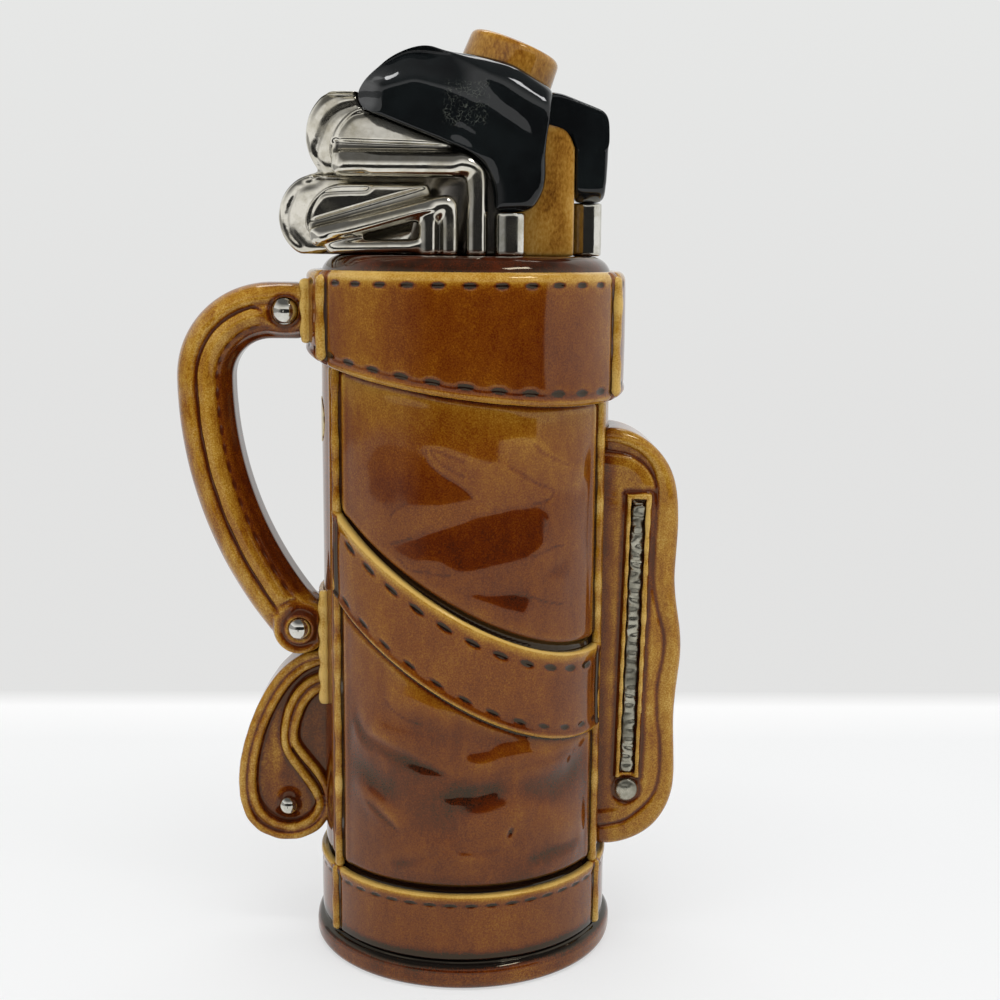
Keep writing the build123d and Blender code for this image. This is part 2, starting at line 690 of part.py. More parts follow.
parts = {
    "bag_shell": make_bag_shell(),
    "foot_ring": make_foot_ring(),
    "bottom_band": make_bottom_band(),
    "top_cuff": make_top_cuff(),
    "sash_front": make_sash(seam_angles["front_left"], seam_angles["front_right"]),
    "sash_back": make_sash(seam_angles["back_right"], seam_angles["back_left"]),
    "bag_deck": make_bag_deck(),
    "pour_neck": pour_neck,
    "front_driver": front_driver,
    "back_driver": back_driver,
    "front_driver_ferrule": driver_ferrule,
    "back_driver_ferrule": twin(driver_ferrule),
    "fairway_wood": make_fairway_wood(),
    "fairway_ferrule": fairway_ferrule - pour_neck,
    "front_upper_iron": front_upper_iron,
    "front_lower_iron": front_lower_iron,
    "front_wedge": front_wedge,
    "back_upper_iron": twin(front_upper_iron),
    "back_lower_iron": twin(front_lower_iron),
    "back_wedge": twin(front_wedge),
    "middle_upper_iron": make_middle_iron(middle_upper_length, middle_upper_height, middle_upper_toe,
                                          deck_top + middle_lower_height),
    "middle_lower_iron": make_middle_iron(middle_lower_length, middle_lower_height, middle_lower_toe, deck_top),
    "handle_strap": handle_strap,
    "upper_handle_plate": upper_plate_room - post(cuff_radius, 0, deck_top),
    "lower_handle_plate": lower_plate_room - post(body_radius, 0, deck_top),
    "handle_rivets": Compound(children=rivet_pair(*handle_rivet_place)),
    "lug_rivets": Compound(children=rivet_pair(*lug_rivet_place)),
    "loop_rivets": Compound(children=rivet_pair(*loop_rivet_place)),
    "strap_loop": make_strap_loop(),
    "side_pocket": make_side_pocket(),
    "zip_teeth": Compound(children=make_zip_teeth()),
    "zip_pulls": Compound(children=make_zip_pulls()),
    "stopper_cap": make_stopper_cap(),
    "stopper_cork": make_stopper_cork(),
    "foil_seal": make_foil_seal(),
}
for place in seam_angles:
    parts[f"body_seam_{place}"] = body_seams[place]
    parts[f"band_seam_{place}"] = band_seams[place]
    parts[f"cuff_seam_{place}"] = cuff_seams[place]

os.makedirs("parts", exist_ok=True)
for name, shape in parts.items():
    export_step(shape, f"parts/{name}.step")
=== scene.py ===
from math import cos, hypot, pi, radians, sin, tan

import bmesh
import bpy
import numpy as np
from bmesh.types import BMFace, BMVert
from mathutils import Matrix, Vector


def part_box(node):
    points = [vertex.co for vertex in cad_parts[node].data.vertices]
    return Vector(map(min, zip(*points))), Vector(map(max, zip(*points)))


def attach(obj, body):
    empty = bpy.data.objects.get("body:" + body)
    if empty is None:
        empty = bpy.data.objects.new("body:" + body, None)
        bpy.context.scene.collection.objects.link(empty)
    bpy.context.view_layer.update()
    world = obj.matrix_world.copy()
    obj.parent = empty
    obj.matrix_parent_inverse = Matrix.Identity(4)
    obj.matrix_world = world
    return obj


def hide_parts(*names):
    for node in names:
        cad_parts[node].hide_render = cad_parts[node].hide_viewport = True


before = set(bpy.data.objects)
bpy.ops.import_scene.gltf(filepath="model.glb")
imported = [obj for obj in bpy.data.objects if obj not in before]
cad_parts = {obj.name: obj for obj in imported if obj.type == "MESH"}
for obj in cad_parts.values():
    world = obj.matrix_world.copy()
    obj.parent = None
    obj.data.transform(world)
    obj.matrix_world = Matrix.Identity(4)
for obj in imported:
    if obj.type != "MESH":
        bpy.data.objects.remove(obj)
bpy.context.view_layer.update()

# A glazed decanter in the shape of a golf bag full of clubs.
# Lengths are in metres. Angles round the bag are in degrees from the front, towards +X.
mm = 0.001

# Sizes read from the frame
body_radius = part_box("bag_shell")[1].x
shell_low, shell_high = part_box("bag_shell")[0].z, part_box("bag_shell")[1].z
foot_radius, foot_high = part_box("foot_ring")[1].x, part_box("foot_ring")[1].z
band_radius, band_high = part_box("bottom_band")[1].x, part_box("bottom_band")[1].z
cuff_radius, cuff_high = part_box("top_cuff")[1].x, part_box("top_cuff")[1].z

# The seams' angles, and the slanted planes of the sash and of the cuff's lower edge
seam_angles = {"front_left": -60.0, "front_right": 66.0, "back_right": 114.0, "back_left": 240.0}
sash_middle, sash_fall_right, sash_fall_front = 107 * mm, 28.0, 19.5
sash_half_width = 12.3 * mm
cuff_low, cuff_fall_right, cuff_fall_front = 168.5 * mm, 7.1, 6.0

# Rows of stitches: their pitch, length, width and how uneven they are
band_stitches = (5.6 * mm, 3.3 * mm, 0.85 * mm, 0.08)
sash_upper_stitches = (7.4 * mm, 3.7 * mm, 1.6 * mm, 0.1)
sash_lower_stitches = (7.4 * mm, 3.4 * mm, 1.3 * mm, 0.1)
cuff_upper_stitches = (8.0 * mm, 3.6 * mm, 1.5 * mm, 0.1)
cuff_lower_stitches = (8.4 * mm, 3.9 * mm, 1.4 * mm, 0.1)
handle_stitches = (5.6 * mm, 3.0 * mm, 1.0 * mm, 0.1)
loop_stitches = (3.4 * mm, 1.9 * mm, 1.0 * mm)

# The photograph's camera
camera_place = (0, -430.06 * mm, 203.54 * mm)
camera_pitch, camera_yaw, camera_roll = 9.66, -1.35, 0.51
camera_lens, camera_sensor = 54.0, 36.0

# The room: the table's soft far line and its front edge, its tones and how much it glows where it is seen,
# and the wall
table_back, table_front, table_glow = 0.225, -0.84, 0.62
table_tones, table_edge_light = [(0.3, (0.855, 0.86, 0.865)), (0.7, (0.88, 0.885, 0.885))], (0.93, 0.93, 0.93)
wall_back, wall_high, room_half_width = 1.6, 2.2, 2.4
distance_colour = (0.765, 0.765, 0.76)

# The dark flag behind the camera, with a wing along its left side
flag_left, flag_right, flag_front, flag_low, flag_high, flag_wing = -1.05, 1.5, -0.92, -0.6, 0.46, 1.7

# The world's light from the sides and from overhead
side_light, ceiling_light = 0.95, 0.13

# The lamps: place, aim, width, height, power, and whether the gloss mirrors them
lamps = {
    "lamp_soft": ((-0.15, -0.2, 1.35), (0, 0, 0.1), 1.5, 1.5, 9.0, False),
    "lamp_strip": ((-0.05, -0.34, 1.1), (0, 0, 0.15), 0.8, 0.13, 3.0, False),
    "lamp_side": ((0.5, -0.34, 1.0), (0, 0, 0.15), 0.3, 0.12, 1.5, True),
    "lamp_back": ((0.05, 0.5, 1.0), (0, 0, 0.15), 0.7, 0.2, 2.0, True),
}


def fall_height(middle, fall_right, fall_front, x, y):
    """The height of a slanted plane over a place on the bag."""
    return middle - x * tan(radians(fall_right)) + y * tan(radians(fall_front))


def sash_height(x, y):
    return fall_height(sash_middle, sash_fall_right, sash_fall_front, x, y)


def cuff_edge_height(x, y):
    return fall_height(cuff_low, cuff_fall_right, cuff_fall_front, x, y)


def bump(distance, width):
    """A soft bell: 1 at no distance, and near nothing at twice the width."""
    return np.exp(-(np.asarray(distance) / width) ** 2)


def step(low, high, value):
    """A smooth rise from 0 to 1."""
    share = np.clip((np.asarray(value) - low) / (high - low), 0, 1)
    return share * share * (3 - 2 * share)


# Mesh tools

def points_of(mesh):
    co = np.empty(len(mesh.vertices) * 3)
    mesh.vertices.foreach_get("co", co)
    return co.reshape(-1, 3)


def put_points(mesh, co):
    mesh.vertices.foreach_set("co", np.ascontiguousarray(co, dtype=np.float64).ravel())
    mesh.update()


def edges_of(mesh):
    pairs = np.empty(len(mesh.edges) * 2, dtype=np.int64)
    mesh.edges.foreach_get("vertices", pairs)
    return pairs.reshape(-1, 2)


def normals_of(mesh):
    normals = np.empty(len(mesh.vertices) * 3)
    mesh.vertex_normals.foreach_get("vector", normals)
    return normals.reshape(-1, 3)


def neighbour_mean(values, pairs, counts):
    total = np.zeros_like(values)
    for axis in range(values.shape[1]):
        column = values[:, axis]
        total[:, axis] = np.bincount(pairs[:, 0], column[pairs[:, 1]], len(values))
        total[:, axis] += np.bincount(pairs[:, 1], column[pairs[:, 0]], len(values))
    return total / counts[:, None]


def smoothed(values, pairs, rounds):
    """Values, or points, evened out along the mesh's edges."""
    counts = np.maximum(np.bincount(pairs.ravel(), minlength=len(values)), 1)
    for _ in range(rounds):
        values = (values + neighbour_mean(values, pairs, counts)) / 2
    return values


def radius_of(co):
    """Distance from the bag's axis."""
    return np.hypot(co[:, 0], co[:, 1])


def depth_of(co):
    """Distance from the middle plane, towards the front or the back."""
    return np.abs(co[:, 1])


def away_from(co, place):
    """Distance in the front plane from a place given by x and z."""
    return np.hypot(co[:, 0] - place[0], co[:, 2] - place[1])


def rounded_near(piece, place, radius, rounds):
    """Rounds off the forms round a place in the front plane."""
    co = points_of(piece.data)
    share = bump(away_from(co, place), radius)[:, None]
    put_points(piece.data, co + (smoothed(co, edges_of(piece.data), rounds) - co) * share)


def only(kind, parts):
    """The vertices, or the faces, among the parts that an operator gives back."""
    return [part for part in parts if isinstance(part, kind)]


def new_piece(name, bm):
    mesh = bpy.data.meshes.new(name)
    bm.to_mesh(mesh)
    bm.free()
    piece = bpy.data.objects.new(name, mesh)
    bpy.context.scene.collection.objects.link(piece)
    return piece


def outward(bm, merge=0.001 * mm):
    bmesh.ops.remove_doubles(bm, verts=bm.verts, dist=merge)
    bmesh.ops.recalc_face_normals(bm, faces=bm.faces)


def remeshed(piece, voxel):
    """The piece's mesh rebuilt with even faces, all its solids run together."""
    remesh = piece.modifiers.new("even", "REMESH")
    remesh.mode = "VOXEL"
    remesh.voxel_size = voxel
    depsgraph = bpy.context.evaluated_depsgraph_get()
    mesh = bpy.data.meshes.new_from_object(piece.evaluated_get(depsgraph))
    piece.modifiers.clear()
    piece.data = mesh
    return piece


def casting(name, nodes, voxel=0.6 * mm, rounds=8, extra=None):
    """A soft-edged casting with the shape of CAD nodes, and of an extra bmesh run into them."""
    bm = extra or bmesh.new()
    for node in nodes:
        bm.from_mesh(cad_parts[node].data)
    bmesh.ops.remove_doubles(bm, verts=bm.verts, dist=0.001 * mm)
    piece = remeshed(new_piece(name, bm), voxel)
    put_points(piece.data, smoothed(points_of(piece.data), edges_of(piece.data), rounds))
    return piece


def raised(piece, relief):
    """Moves each point out along its normal by what the relief gives for it."""
    co, normals = points_of(piece.data), normals_of(piece.data)
    put_points(piece.data, co + normals * relief(co, normals)[:, None])
    return piece


def turned(name, profile, turns, start=0.0, end=360.0, closed=True):
    """A profile of (radius, height) points spun round the bag's axis; a part turn gets caps."""
    bm = bmesh.new()
    turn = Matrix.Rotation(radians(start), 3, "Z")
    rim = [bm.verts.new(turn @ Vector((0, -radius, height))) for radius, height in profile]
    edges = [bm.edges.new(pair) for pair in zip(rim, rim[1:] + (rim[:1] if closed else []))]
    whole = end - start >= 360
    if not whole:
        bm.faces.new(rim)
    spun = bmesh.ops.spin(bm, geom=rim + edges, cent=(0, 0, 0), axis=(0, 0, 1), steps=turns,
                          angle=radians(end - start), use_merge=whole)
    if not whole:
        bmesh.ops.contextual_create(bm, geom=only(BMVert, spun["geom_last"]))
    outward(bm)
    return new_piece(name, bm)


def finer(profile, spacing):
    """An open profile with points no further apart than the spacing."""
    points = [profile[0]]
    for (r0, z0), (r1, z1) in zip(profile, profile[1:]):
        count = max(1, round(hypot(r1 - r0, z1 - z0) / spacing))
        points += [(r0 + (r1 - r0) * n / count, z0 + (z1 - z0) * n / count)
                   for n in range(1, count + 1)]
    return points


def corner(centre, radius, from_angle, to_angle, count=6):
    """Points of an arc in a profile; 0 degrees looks outwards and 90 up."""
    spread = [radians(from_angle + (to_angle - from_angle) * n / count) for n in range(count + 1)]
    return [(centre[0] + radius * cos(a), centre[1] + radius * sin(a)) for a in spread]


def angle_of(co):
    """Degrees round the bag from the front, from -90 to 270."""
    angle = np.degrees(np.arctan2(co[:, 0], -co[:, 1]))
    return np.where(angle < -90, angle + 360, angle)


# Lines in the plane seen from the front

def smooth_line(points, per=6):
    """A polyline that runs smoothly through its points."""
    ends = [points[0]] + list(points) + [points[-1]]
    line = []
    for p0, p1, p2, p3 in zip(ends, ends[1:], ends[2:], ends[3:]):
        for n in range(per):
            t = n / per
            line.append([(2 * b + (c - a) * t + (2 * a - 5 * b + 4 * c - d) * t * t
                          + (3 * b - a - 3 * c + d) * t ** 3) / 2 for a, b, c, d in zip(p0, p1, p2, p3)])
    return np.array(line + [list(points[-1])])


def to_line(x, z, line):
    """Distance of places to a polyline, and how far along it they lie."""
    best, along, passed = np.full(len(x), 1e3), np.zeros(len(x)), 0.0
    for start, end in zip(line, line[1:]):
        run = end - start
        length = max(hypot(*run), 1e-9)
        share = np.clip(((x - start[0]) * run[0] + (z - start[1]) * run[1]) / length ** 2, 0, 1)
        gap = np.hypot(x - start[0] - share * run[0], z - start[1] - share * run[1])
        nearer = gap < best
        best = np.where(nearer, gap, best)
        along = np.where(nearer, passed + share * length, along)
        passed += length
    return best, along


def in_mm(points):
    return [(x * mm, z * mm) for x, z in points]


# What the glaze does: it runs thin over ridges and pools in hollows; the same stored attribute also carries
# painted shade and painted reflections

def store(piece, name, values):
    data = piece.data.attributes.get(name) or piece.data.attributes.new(name, "FLOAT", "POINT")
    data.data.foreach_set("value", np.asarray(values, dtype=np.float32))


def measure_relief(piece, rounds=(6, 40)):
    """Stores how far each point stands over its surroundings, in millimetres, near and far summed."""
    co, pairs, normals = points_of(piece.data), edges_of(piece.data), normals_of(piece.data)
    total = np.zeros(len(co))
    for count in rounds:
        total += ((co - smoothed(co, pairs, count)) * normals).sum(1)
    store(piece, "relief", total / mm)


def swell(piece, co, radius, relief, moving, near=(6, 30)):
    """Moves points out from the bag's axis by their relief, where they may move, and measures it."""
    grow = 1 + np.where(moving, relief, 0) / radius
    co[:, 0] *= grow
    co[:, 1] *= grow
    put_points(piece.data, co)
    measure_relief(piece, near)


def dress(piece, node, body, material, smooth=True):
    """Hangs a finished piece on its body in place of its CAD nodes."""
    nodes = [node] if isinstance(node, str) else node
    piece.data.materials.clear()
    piece.data.materials.append(material)
    if smooth:
        piece.data.polygons.foreach_set("use_smooth", [True] * len(piece.data.polygons))
    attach(piece, body)
    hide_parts(*nodes)
    return piece


# Materials

class Surface:
    """A node material with short ways to add what a finish needs."""

    def __init__(self, name):
        self.material = bpy.data.materials.new(name)
        self.material.use_nodes = True
        self.nodes = self.material.node_tree.nodes
        self.links = self.material.node_tree.links
        self.shader = self.nodes["Principled BSDF"]
        self.place = self.nodes.new("ShaderNodeTexCoord").outputs["Object"]

    def add(self, kind, inputs=(), **settings):
        node = self.nodes.new(kind)
        for name, value in settings.items():
            setattr(node, name, value)
        for name, value in dict(inputs).items():
            self.feed(value, node.inputs[name])
        return node

    def feed(self, value, socket):
        if isinstance(value, bpy.types.NodeSocket):
            self.links.new(value, socket)
        else:
            socket.default_value = value

    def sums(self, operation, first, second):
        node = self.add("ShaderNodeMath", {0: first, 1: second}, operation=operation)
        return node.outputs[0]

    def vector(self, operation, first, second):
        return self.add("ShaderNodeVectorMath", {0: first, 1: second}, operation=operation).outputs[0]

    def plus(self, first, *others):
        for other in others:
            first = self.sums("ADD", first, other)
        return first

    def along(self, axis):
        """How far a point lies along X, Y or Z."""
        return self.add("ShaderNodeSeparateXYZ", {"Vector": self.place}).outputs[axis]

    def noise(self, size, detail=3.0, rough=0.5, stretch=None):
        """Noise with grains of a size in metres, from 0 to 1; stretch scales the three axes."""
        place = self.place
        if stretch:
            place = self.add("ShaderNodeMapping", {"Vector": place, "Scale": stretch}).outputs[0]
        node = self.add("ShaderNodeTexNoise", {"Vector": place, "Scale": 1 / size, "Detail": detail,
                                               "Roughness": rough})
        return node.outputs["Fac"]

    def spread(self, value, low, high, to_low=0.0, to_high=1.0):
        node = self.add("ShaderNodeMapRange", {"Value": value, "From Min": low, "From Max": high,
                                               "To Min": to_low, "To Max": to_high})
        return node.outputs[0]

    def swing(self, value, reach, low=0.3, high=0.7):
        """A noise's middle values spread out to a reach on both sides of 0."""
        return self.spread(value, low, high, -reach, reach)

    def attribute(self, name):
        return self.add("ShaderNodeAttribute", attribute_name=name).outputs["Fac"]

    def ramp(self, value, stops):
        node = self.add("ShaderNodeValToRGB", {"Fac": value})
        ramp = node.color_ramp
        while len(ramp.elements) < len(stops):
            ramp.elements.new(0.5)
        for element, (position, colour) in zip(ramp.elements, stops):
            element.position = position
            element.color = (*colour, 1)
        return node.outputs["Color"]

    def blend(self, share, first, second):
        node = self.add("ShaderNodeMix", data_type="RGBA")
        self.feed(share, node.inputs["Factor"])
        for value, name in ((first, "A_Color"), (second, "B_Color")):
            socket = next(s for s in node.inputs if s.identifier == name)
            self.feed(value if isinstance(value, bpy.types.NodeSocket) else (*value, 1), socket)
        return next(s for s in node.outputs if s.identifier == "Result_Color")

    def bumps(self, height, strength, distance, over=None):
        node = self.add("ShaderNodeBump", {"Height": height, "Strength": strength, "Distance": distance})
        if over:
            self.links.new(over, node.inputs["Normal"])
        return node.outputs["Normal"]

    def glow(self, colour=(1, 1, 1, 1), strength=1.0):
        return self.add("ShaderNodeEmission", {"Color": colour, "Strength": strength}).outputs[0]

    def mix(self, share, first, second):
        return self.add("ShaderNodeMixShader", {0: share, 1: first, 2: second}).outputs[0]

    def show(self, shader):
        """Puts another shader in the plain one's place."""
        output = next(node for node in self.nodes if node.type == "OUTPUT_MATERIAL")
        self.links.new(shader, output.inputs["Surface"])

    def finish(self, colour=None, roughness=None, normal=None, metallic=None):
        for value, name in ((colour, "Base Color"), (roughness, "Roughness"), (normal, "Normal"),
                            (metallic, "Metallic")):
            if value is not None:
                self.feed(value, self.shader.inputs[name])
        return self.material


# From the thickest glaze and painted shade to the thinnest glaze and painted reflection
brown_glaze_stops = [
    (0.0, (0.004, 0.003, 0.003)),
    (0.16, (0.018, 0.006, 0.003)),
    (0.34, (0.085, 0.013, 0.0015)),
    (0.5, (0.15, 0.037, 0.0022)),
    (0.62, (0.225, 0.08, 0.0045)),
    (0.78, (0.35, 0.175, 0.017)),
    (1.0, (0.56, 0.36, 0.095)),
]
amber_stops = [(0.15, (0.07, 0.02, 0.003)), (0.35, (0.19, 0.07, 0.007)), (0.55, (0.3, 0.14, 0.018)),
               (0.8, (0.44, 0.24, 0.05))]
neck_stops = [(0.15, (0.09, 0.028, 0.004)), (0.35, (0.25, 0.105, 0.012)), (0.55, (0.38, 0.19, 0.03)),
              (0.8, (0.5, 0.29, 0.07))]
# The tint of what the warm glazes mirror, and the most that a ridge lightens a brown glaze
warm_gloss, ridge_reach = (1.0, 0.86, 0.62, 1), 0.42
# The drivers' scratched patch: its middle and half size along X and Z
scratched = (("X", -0.3 * mm, 6.6 * mm), ("Z", 240.5 * mm, 6.4 * mm))


def brown_glaze(name, level, relief_gain, cloud=0.1, speckle=0.12, darkest=0.0, wavy=0.35, mottle=0.035,
                hollow_reach=-0.5):
    """A glossy glaze that breaks from dark in hollows to gold on edges, over a given middle level; its stored
    attribute darkens it where glaze pools and where shade is painted, and lightens it where reflections are
    painted.
    """
    surface = Surface(name)
    relief = surface.sums("MULTIPLY", surface.attribute("relief"), relief_gain)
    relief = surface.add("ShaderNodeClamp", {"Value": relief, "Min": hollow_reach, "Max": ridge_reach})
    clouds = surface.swing(surface.noise(16 * mm, 3, 0.6, (1, 1, 0.7)), cloud)
    grains = surface.swing(surface.noise(0.42 * mm, 2, 0.6), speckle, 0.32, 0.68)
    runs = surface.swing(surface.noise(3.0 * mm, 3, 0.6, (1, 1, 0.4)), mottle)
    value = surface.plus(relief.outputs[0], level, clouds, grains, runs)
    # Darker where glaze pools and where shade is painted, lighter where reflections are painted
    value = surface.sums("SUBTRACT", value, surface.attribute("pool_and_shade"))
    colour = surface.ramp(surface.sums("MAXIMUM", value, darkest), brown_glaze_stops)
    waves = surface.bumps(surface.noise(9 * mm, 2, 0.5), wavy, 0.35 * mm)
    skin = surface.bumps(surface.noise(1.1 * mm, 2, 0.5), 0.05, 0.1 * mm, waves)
    roughness = surface.spread(surface.noise(5 * mm, 3, 0.6), 0.3, 0.7, 0.05, 0.11)
    surface.shader.inputs["IOR"].default_value = 1.52
    surface.shader.inputs["Specular Tint"].default_value = warm_gloss
    return surface.finish(colour, roughness, skin)


def black_glaze():
    """Deep black, with a patch of fine crossing scratches on the drivers' faces."""
    surface = Surface("black_glaze")
    colour = surface.ramp(surface.noise(12 * mm, 3, 0.6),
                          [(0.3, (0.0035, 0.004, 0.0045)), (0.7, (0.007, 0.009, 0.0095))])
    bend = surface.add("ShaderNodeTexNoise", {"Vector": surface.place, "Scale": 1 / (2.2 * mm),
                                              "Detail": 3.0}).outputs
    shifted = surface.vector("MULTIPLY", bend["Color"], (1.6 * mm,) * 3)
    shifted = surface.vector("ADD", surface.place, shifted)
    cells = surface.add("ShaderNodeTexVoronoi", {"Vector": shifted, "Scale": 1 / (1.05 * mm)},
                        feature="DISTANCE_TO_EDGE").outputs["Distance"]
    lines = surface.spread(cells, 0.015, 0.075, 1.0, 0.0)
    worn = surface.spread(surface.noise(1.4 * mm, 4, 0.7), 0.46, 0.6)
    marks = surface.sums("MULTIPLY", lines, worn)
    ragged = surface.swing(bend["Fac"], mm, 0, 1)
    for axis, middle, half in scratched:
        off = surface.sums("ABSOLUTE", surface.sums("SUBTRACT", surface.along(axis), middle), 0.0)
        inside = surface.spread(surface.sums("ADD", off, ragged), half, half - 1.2 * mm)
        marks = surface.sums("MULTIPLY", marks, inside)
    colour = surface.blend(marks, colour, (0.055, 0.06, 0.05))
    roughness = surface.spread(marks, 0, 1, 0.045, 0.3)
    waves = surface.bumps(surface.noise(9 * mm, 2, 0.5), 0.35, 0.35 * mm)
    surface.shader.inputs["IOR"].default_value = 1.47
    return surface.finish(colour, roughness, waves)


def platinum_lustre(name, clear_film, dull_film, smoothest, roughest):
    """A thin metal film fired over glaze, dulled and pitted here and there."""
    surface = Surface(name)
    dull = surface.spread(surface.noise(9 * mm, 4, 0.65), 0.42, 0.66)
    bright = surface.blend(dull, clear_film, dull_film)
    pits = surface.spread(surface.noise(0.45 * mm, 4, 0.7), 0.6, 0.72)
    hollow = surface.spread(surface.attribute("relief"), -0.6, -0.1, 1.0, 0.0)
    bright = surface.blend(surface.sums("MULTIPLY", pits, surface.sums("ADD", 0.35, hollow)), bright,
                           (0.05, 0.045, 0.04))
    bright = surface.blend(surface.sums("MULTIPLY", hollow, 0.75), bright, (0.03, 0.028, 0.027))
    roughness = surface.spread(dull, 0, 1, smoothest, roughest)
    waves = surface.bumps(surface.noise(6 * mm, 2, 0.5), 0.35, 0.35 * mm)
    skin = surface.bumps(surface.noise(0.5 * mm, 3, 0.6), 0.06, 0.08 * mm, waves)
    return surface.finish(bright, roughness, skin, 1.0)


def amber_colour(surface, stops):
    """Amber in upright streaks, paler on ridges and darker where it pools; gives its clouds too."""
    clouds = surface.noise(7 * mm, 4, 0.6, (1, 1, 0.5))
    grains = surface.swing(surface.noise(0.6 * mm, 2, 0.6, (1, 1, 0.5)), 0.14)
    relief = surface.sums("MULTIPLY", surface.attribute("relief"), 0.25)
    value = surface.sums("SUBTRACT", surface.plus(clouds, grains, relief), surface.attribute("pool_and_shade"))
    return surface.ramp(value, stops), clouds


def amber_glaze():
    surface = Surface("amber_glaze")
    colour = amber_colour(surface, amber_stops)[0]
    waves = surface.bumps(surface.noise(8 * mm, 2, 0.5), 0.3, 0.3 * mm)
    surface.shader.inputs["Specular Tint"].default_value = warm_gloss
    return surface.finish(colour, 0.08, waves)


def neck_glaze():
    """Amber glaze that gives way to lustre on the side towards the irons."""
    surface = Surface("neck_glaze")
    colour, clouds = amber_colour(surface, neck_stops)
    across = surface.sums("ADD", surface.along("X"), surface.swing(clouds, 2 * mm, 0, 1))
    film = surface.spread(across, 9.5 * mm, 8.5 * mm)
    colour = surface.blend(film, colour, (0.3, 0.28, 0.25))
    waves = surface.bumps(surface.noise(8 * mm, 2, 0.5), 0.3, 0.3 * mm)
    return surface.finish(colour, surface.spread(film, 0, 1, 0.08, 0.25), waves, film)


def cork():
    surface = Surface("cork")
    grains = surface.noise(1.6 * mm, 5, 0.7)
    colour = surface.ramp(grains, [(0.3, (0.2, 0.09, 0.035)), (0.5, (0.42, 0.25, 0.12)),
                                   (0.7, (0.55, 0.36, 0.2))])
    pores = surface.noise(0.8 * mm, 3, 0.6)
    return surface.finish(colour, 0.85, surface.bumps(pores, 0.5, 0.4 * mm))


def foil():
    surface = Surface("foil")
    creases = surface.noise(2.2 * mm, 3, 0.6)
    colour = surface.ramp(creases, [(0.3, (0.5, 0.38, 0.16)), (0.7, (0.72, 0.6, 0.33))])
    return surface.finish(colour, 0.28, surface.bumps(creases, 0.35, 0.3 * mm), 1.0)


leather = brown_glaze("leather_glaze", 0.44, 0.5, cloud=0.07, speckle=0.09, darkest=0.09, wavy=0.12,
                      hollow_reach=-0.1)
trim = brown_glaze("trim_glaze", 0.67, 0.6, cloud=0.09, speckle=0.12, darkest=0.27, mottle=0.08)
dark = brown_glaze("dark_glaze", 0.35, 0.3, cloud=0.14)
deck_skin = brown_glaze("deck_glaze", 0.2, 0.3, cloud=0.1, speckle=0.04)
neck_skin = neck_glaze()
black = black_glaze()
lustre = platinum_lustre("platinum_lustre", (0.72, 0.69, 0.61), (0.5, 0.465, 0.37), 0.1, 0.26)
rivet_lustre = platinum_lustre("rivet_lustre", (0.69, 0.675, 0.62), (0.46, 0.44, 0.36), 0.07, 0.2)
zip_lustre = platinum_lustre("zip_lustre", (0.44, 0.42, 0.34), (0.19, 0.18, 0.14), 0.24, 0.42)
amber = amber_glaze()
cork_skin = cork()
foil_skin = foil()


# Camera, floor, backdrop and light

def make_camera():
    camera = bpy.data.objects.new("camera", bpy.data.cameras.new("camera"))
    camera.data.lens = camera_lens
    camera.data.sensor_width = camera_sensor
    camera.data.clip_start = 10 * mm
    camera.data.clip_end = 20
    turn = Matrix.Rotation(radians(camera_yaw), 4, "Z") @ Matrix.Rotation(radians(90 - camera_pitch), 4, "X")
    turn = turn @ Matrix.Rotation(radians(camera_roll), 4, "Z")
    camera.matrix_world = Matrix.Translation(camera_place) @ turn
    bpy.context.scene.collection.objects.link(camera)
    bpy.context.scene.camera = camera


def make_lamp(name, place, aim, width, height, power, mirrored):
    """An area lamp; one that isn't mirrored lights the object without showing in its gloss."""
    lamp = bpy.data.lights.new(name, "AREA")
    lamp.shape = "RECTANGLE"
    lamp.size, lamp.size_y = width, height
    lamp.energy = power
    holder = bpy.data.objects.new(name, lamp)
    turn = (Vector(aim) - Vector(place)).to_track_quat("-Z", "Y")
    holder.matrix_world = Matrix.Translation(place) @ turn.to_matrix().to_4x4()
    holder.visible_glossy = mirrored
    bpy.context.scene.collection.objects.link(holder)


def flat(left, right, near, far):
    """A four-cornered sheet from left to right; near and far give y and z of its two long edges."""
    bm = bmesh.new()
    bmesh.ops.create_grid(bm, x_segments=1, y_segments=1, size=1)
    for vertex in bm.verts:
        vertex.co = (right if vertex.co.x > 0 else left, *(far if vertex.co.y > 0 else near))
    return bm


def make_table():
    """A pale table that meets the paler distance in a soft line behind the object."""
    surface = Surface("table_white")
    depth = surface.along("Y")
    near = surface.ramp(surface.noise(0.3, 2, 0.5), table_tones)
    # Painted light: the table paler in a band just before its far line
    edge_glow = surface.spread(depth, table_back - 55 * mm, table_back - 12 * mm)
    near = surface.blend(edge_glow, near, table_edge_light)
    surface.finish(near, 0.5)
    surface.shader.inputs["Specular IOR Level"].default_value = 0.3
    path = surface.add("ShaderNodeLightPath").outputs
    seen = surface.sums("MAXIMUM", path["Is Camera Ray"], path["Is Glossy Ray"])
    seen = surface.sums("MAXIMUM", seen, path["Is Transmission Ray"])
    seen = surface.sums("MULTIPLY", seen, table_glow)
    paler = surface.mix(seen, surface.shader.outputs[0], surface.glow(near))
    share = surface.spread(depth, table_back - 9 * mm, table_back + 14 * mm)
    surface.show(surface.mix(share, paler, surface.glow((*distance_colour, 1))))
    table = new_piece("table", flat(-room_half_width, room_half_width, (table_front, 0), (wall_back, 0)))
    table.data.materials.append(surface.material)


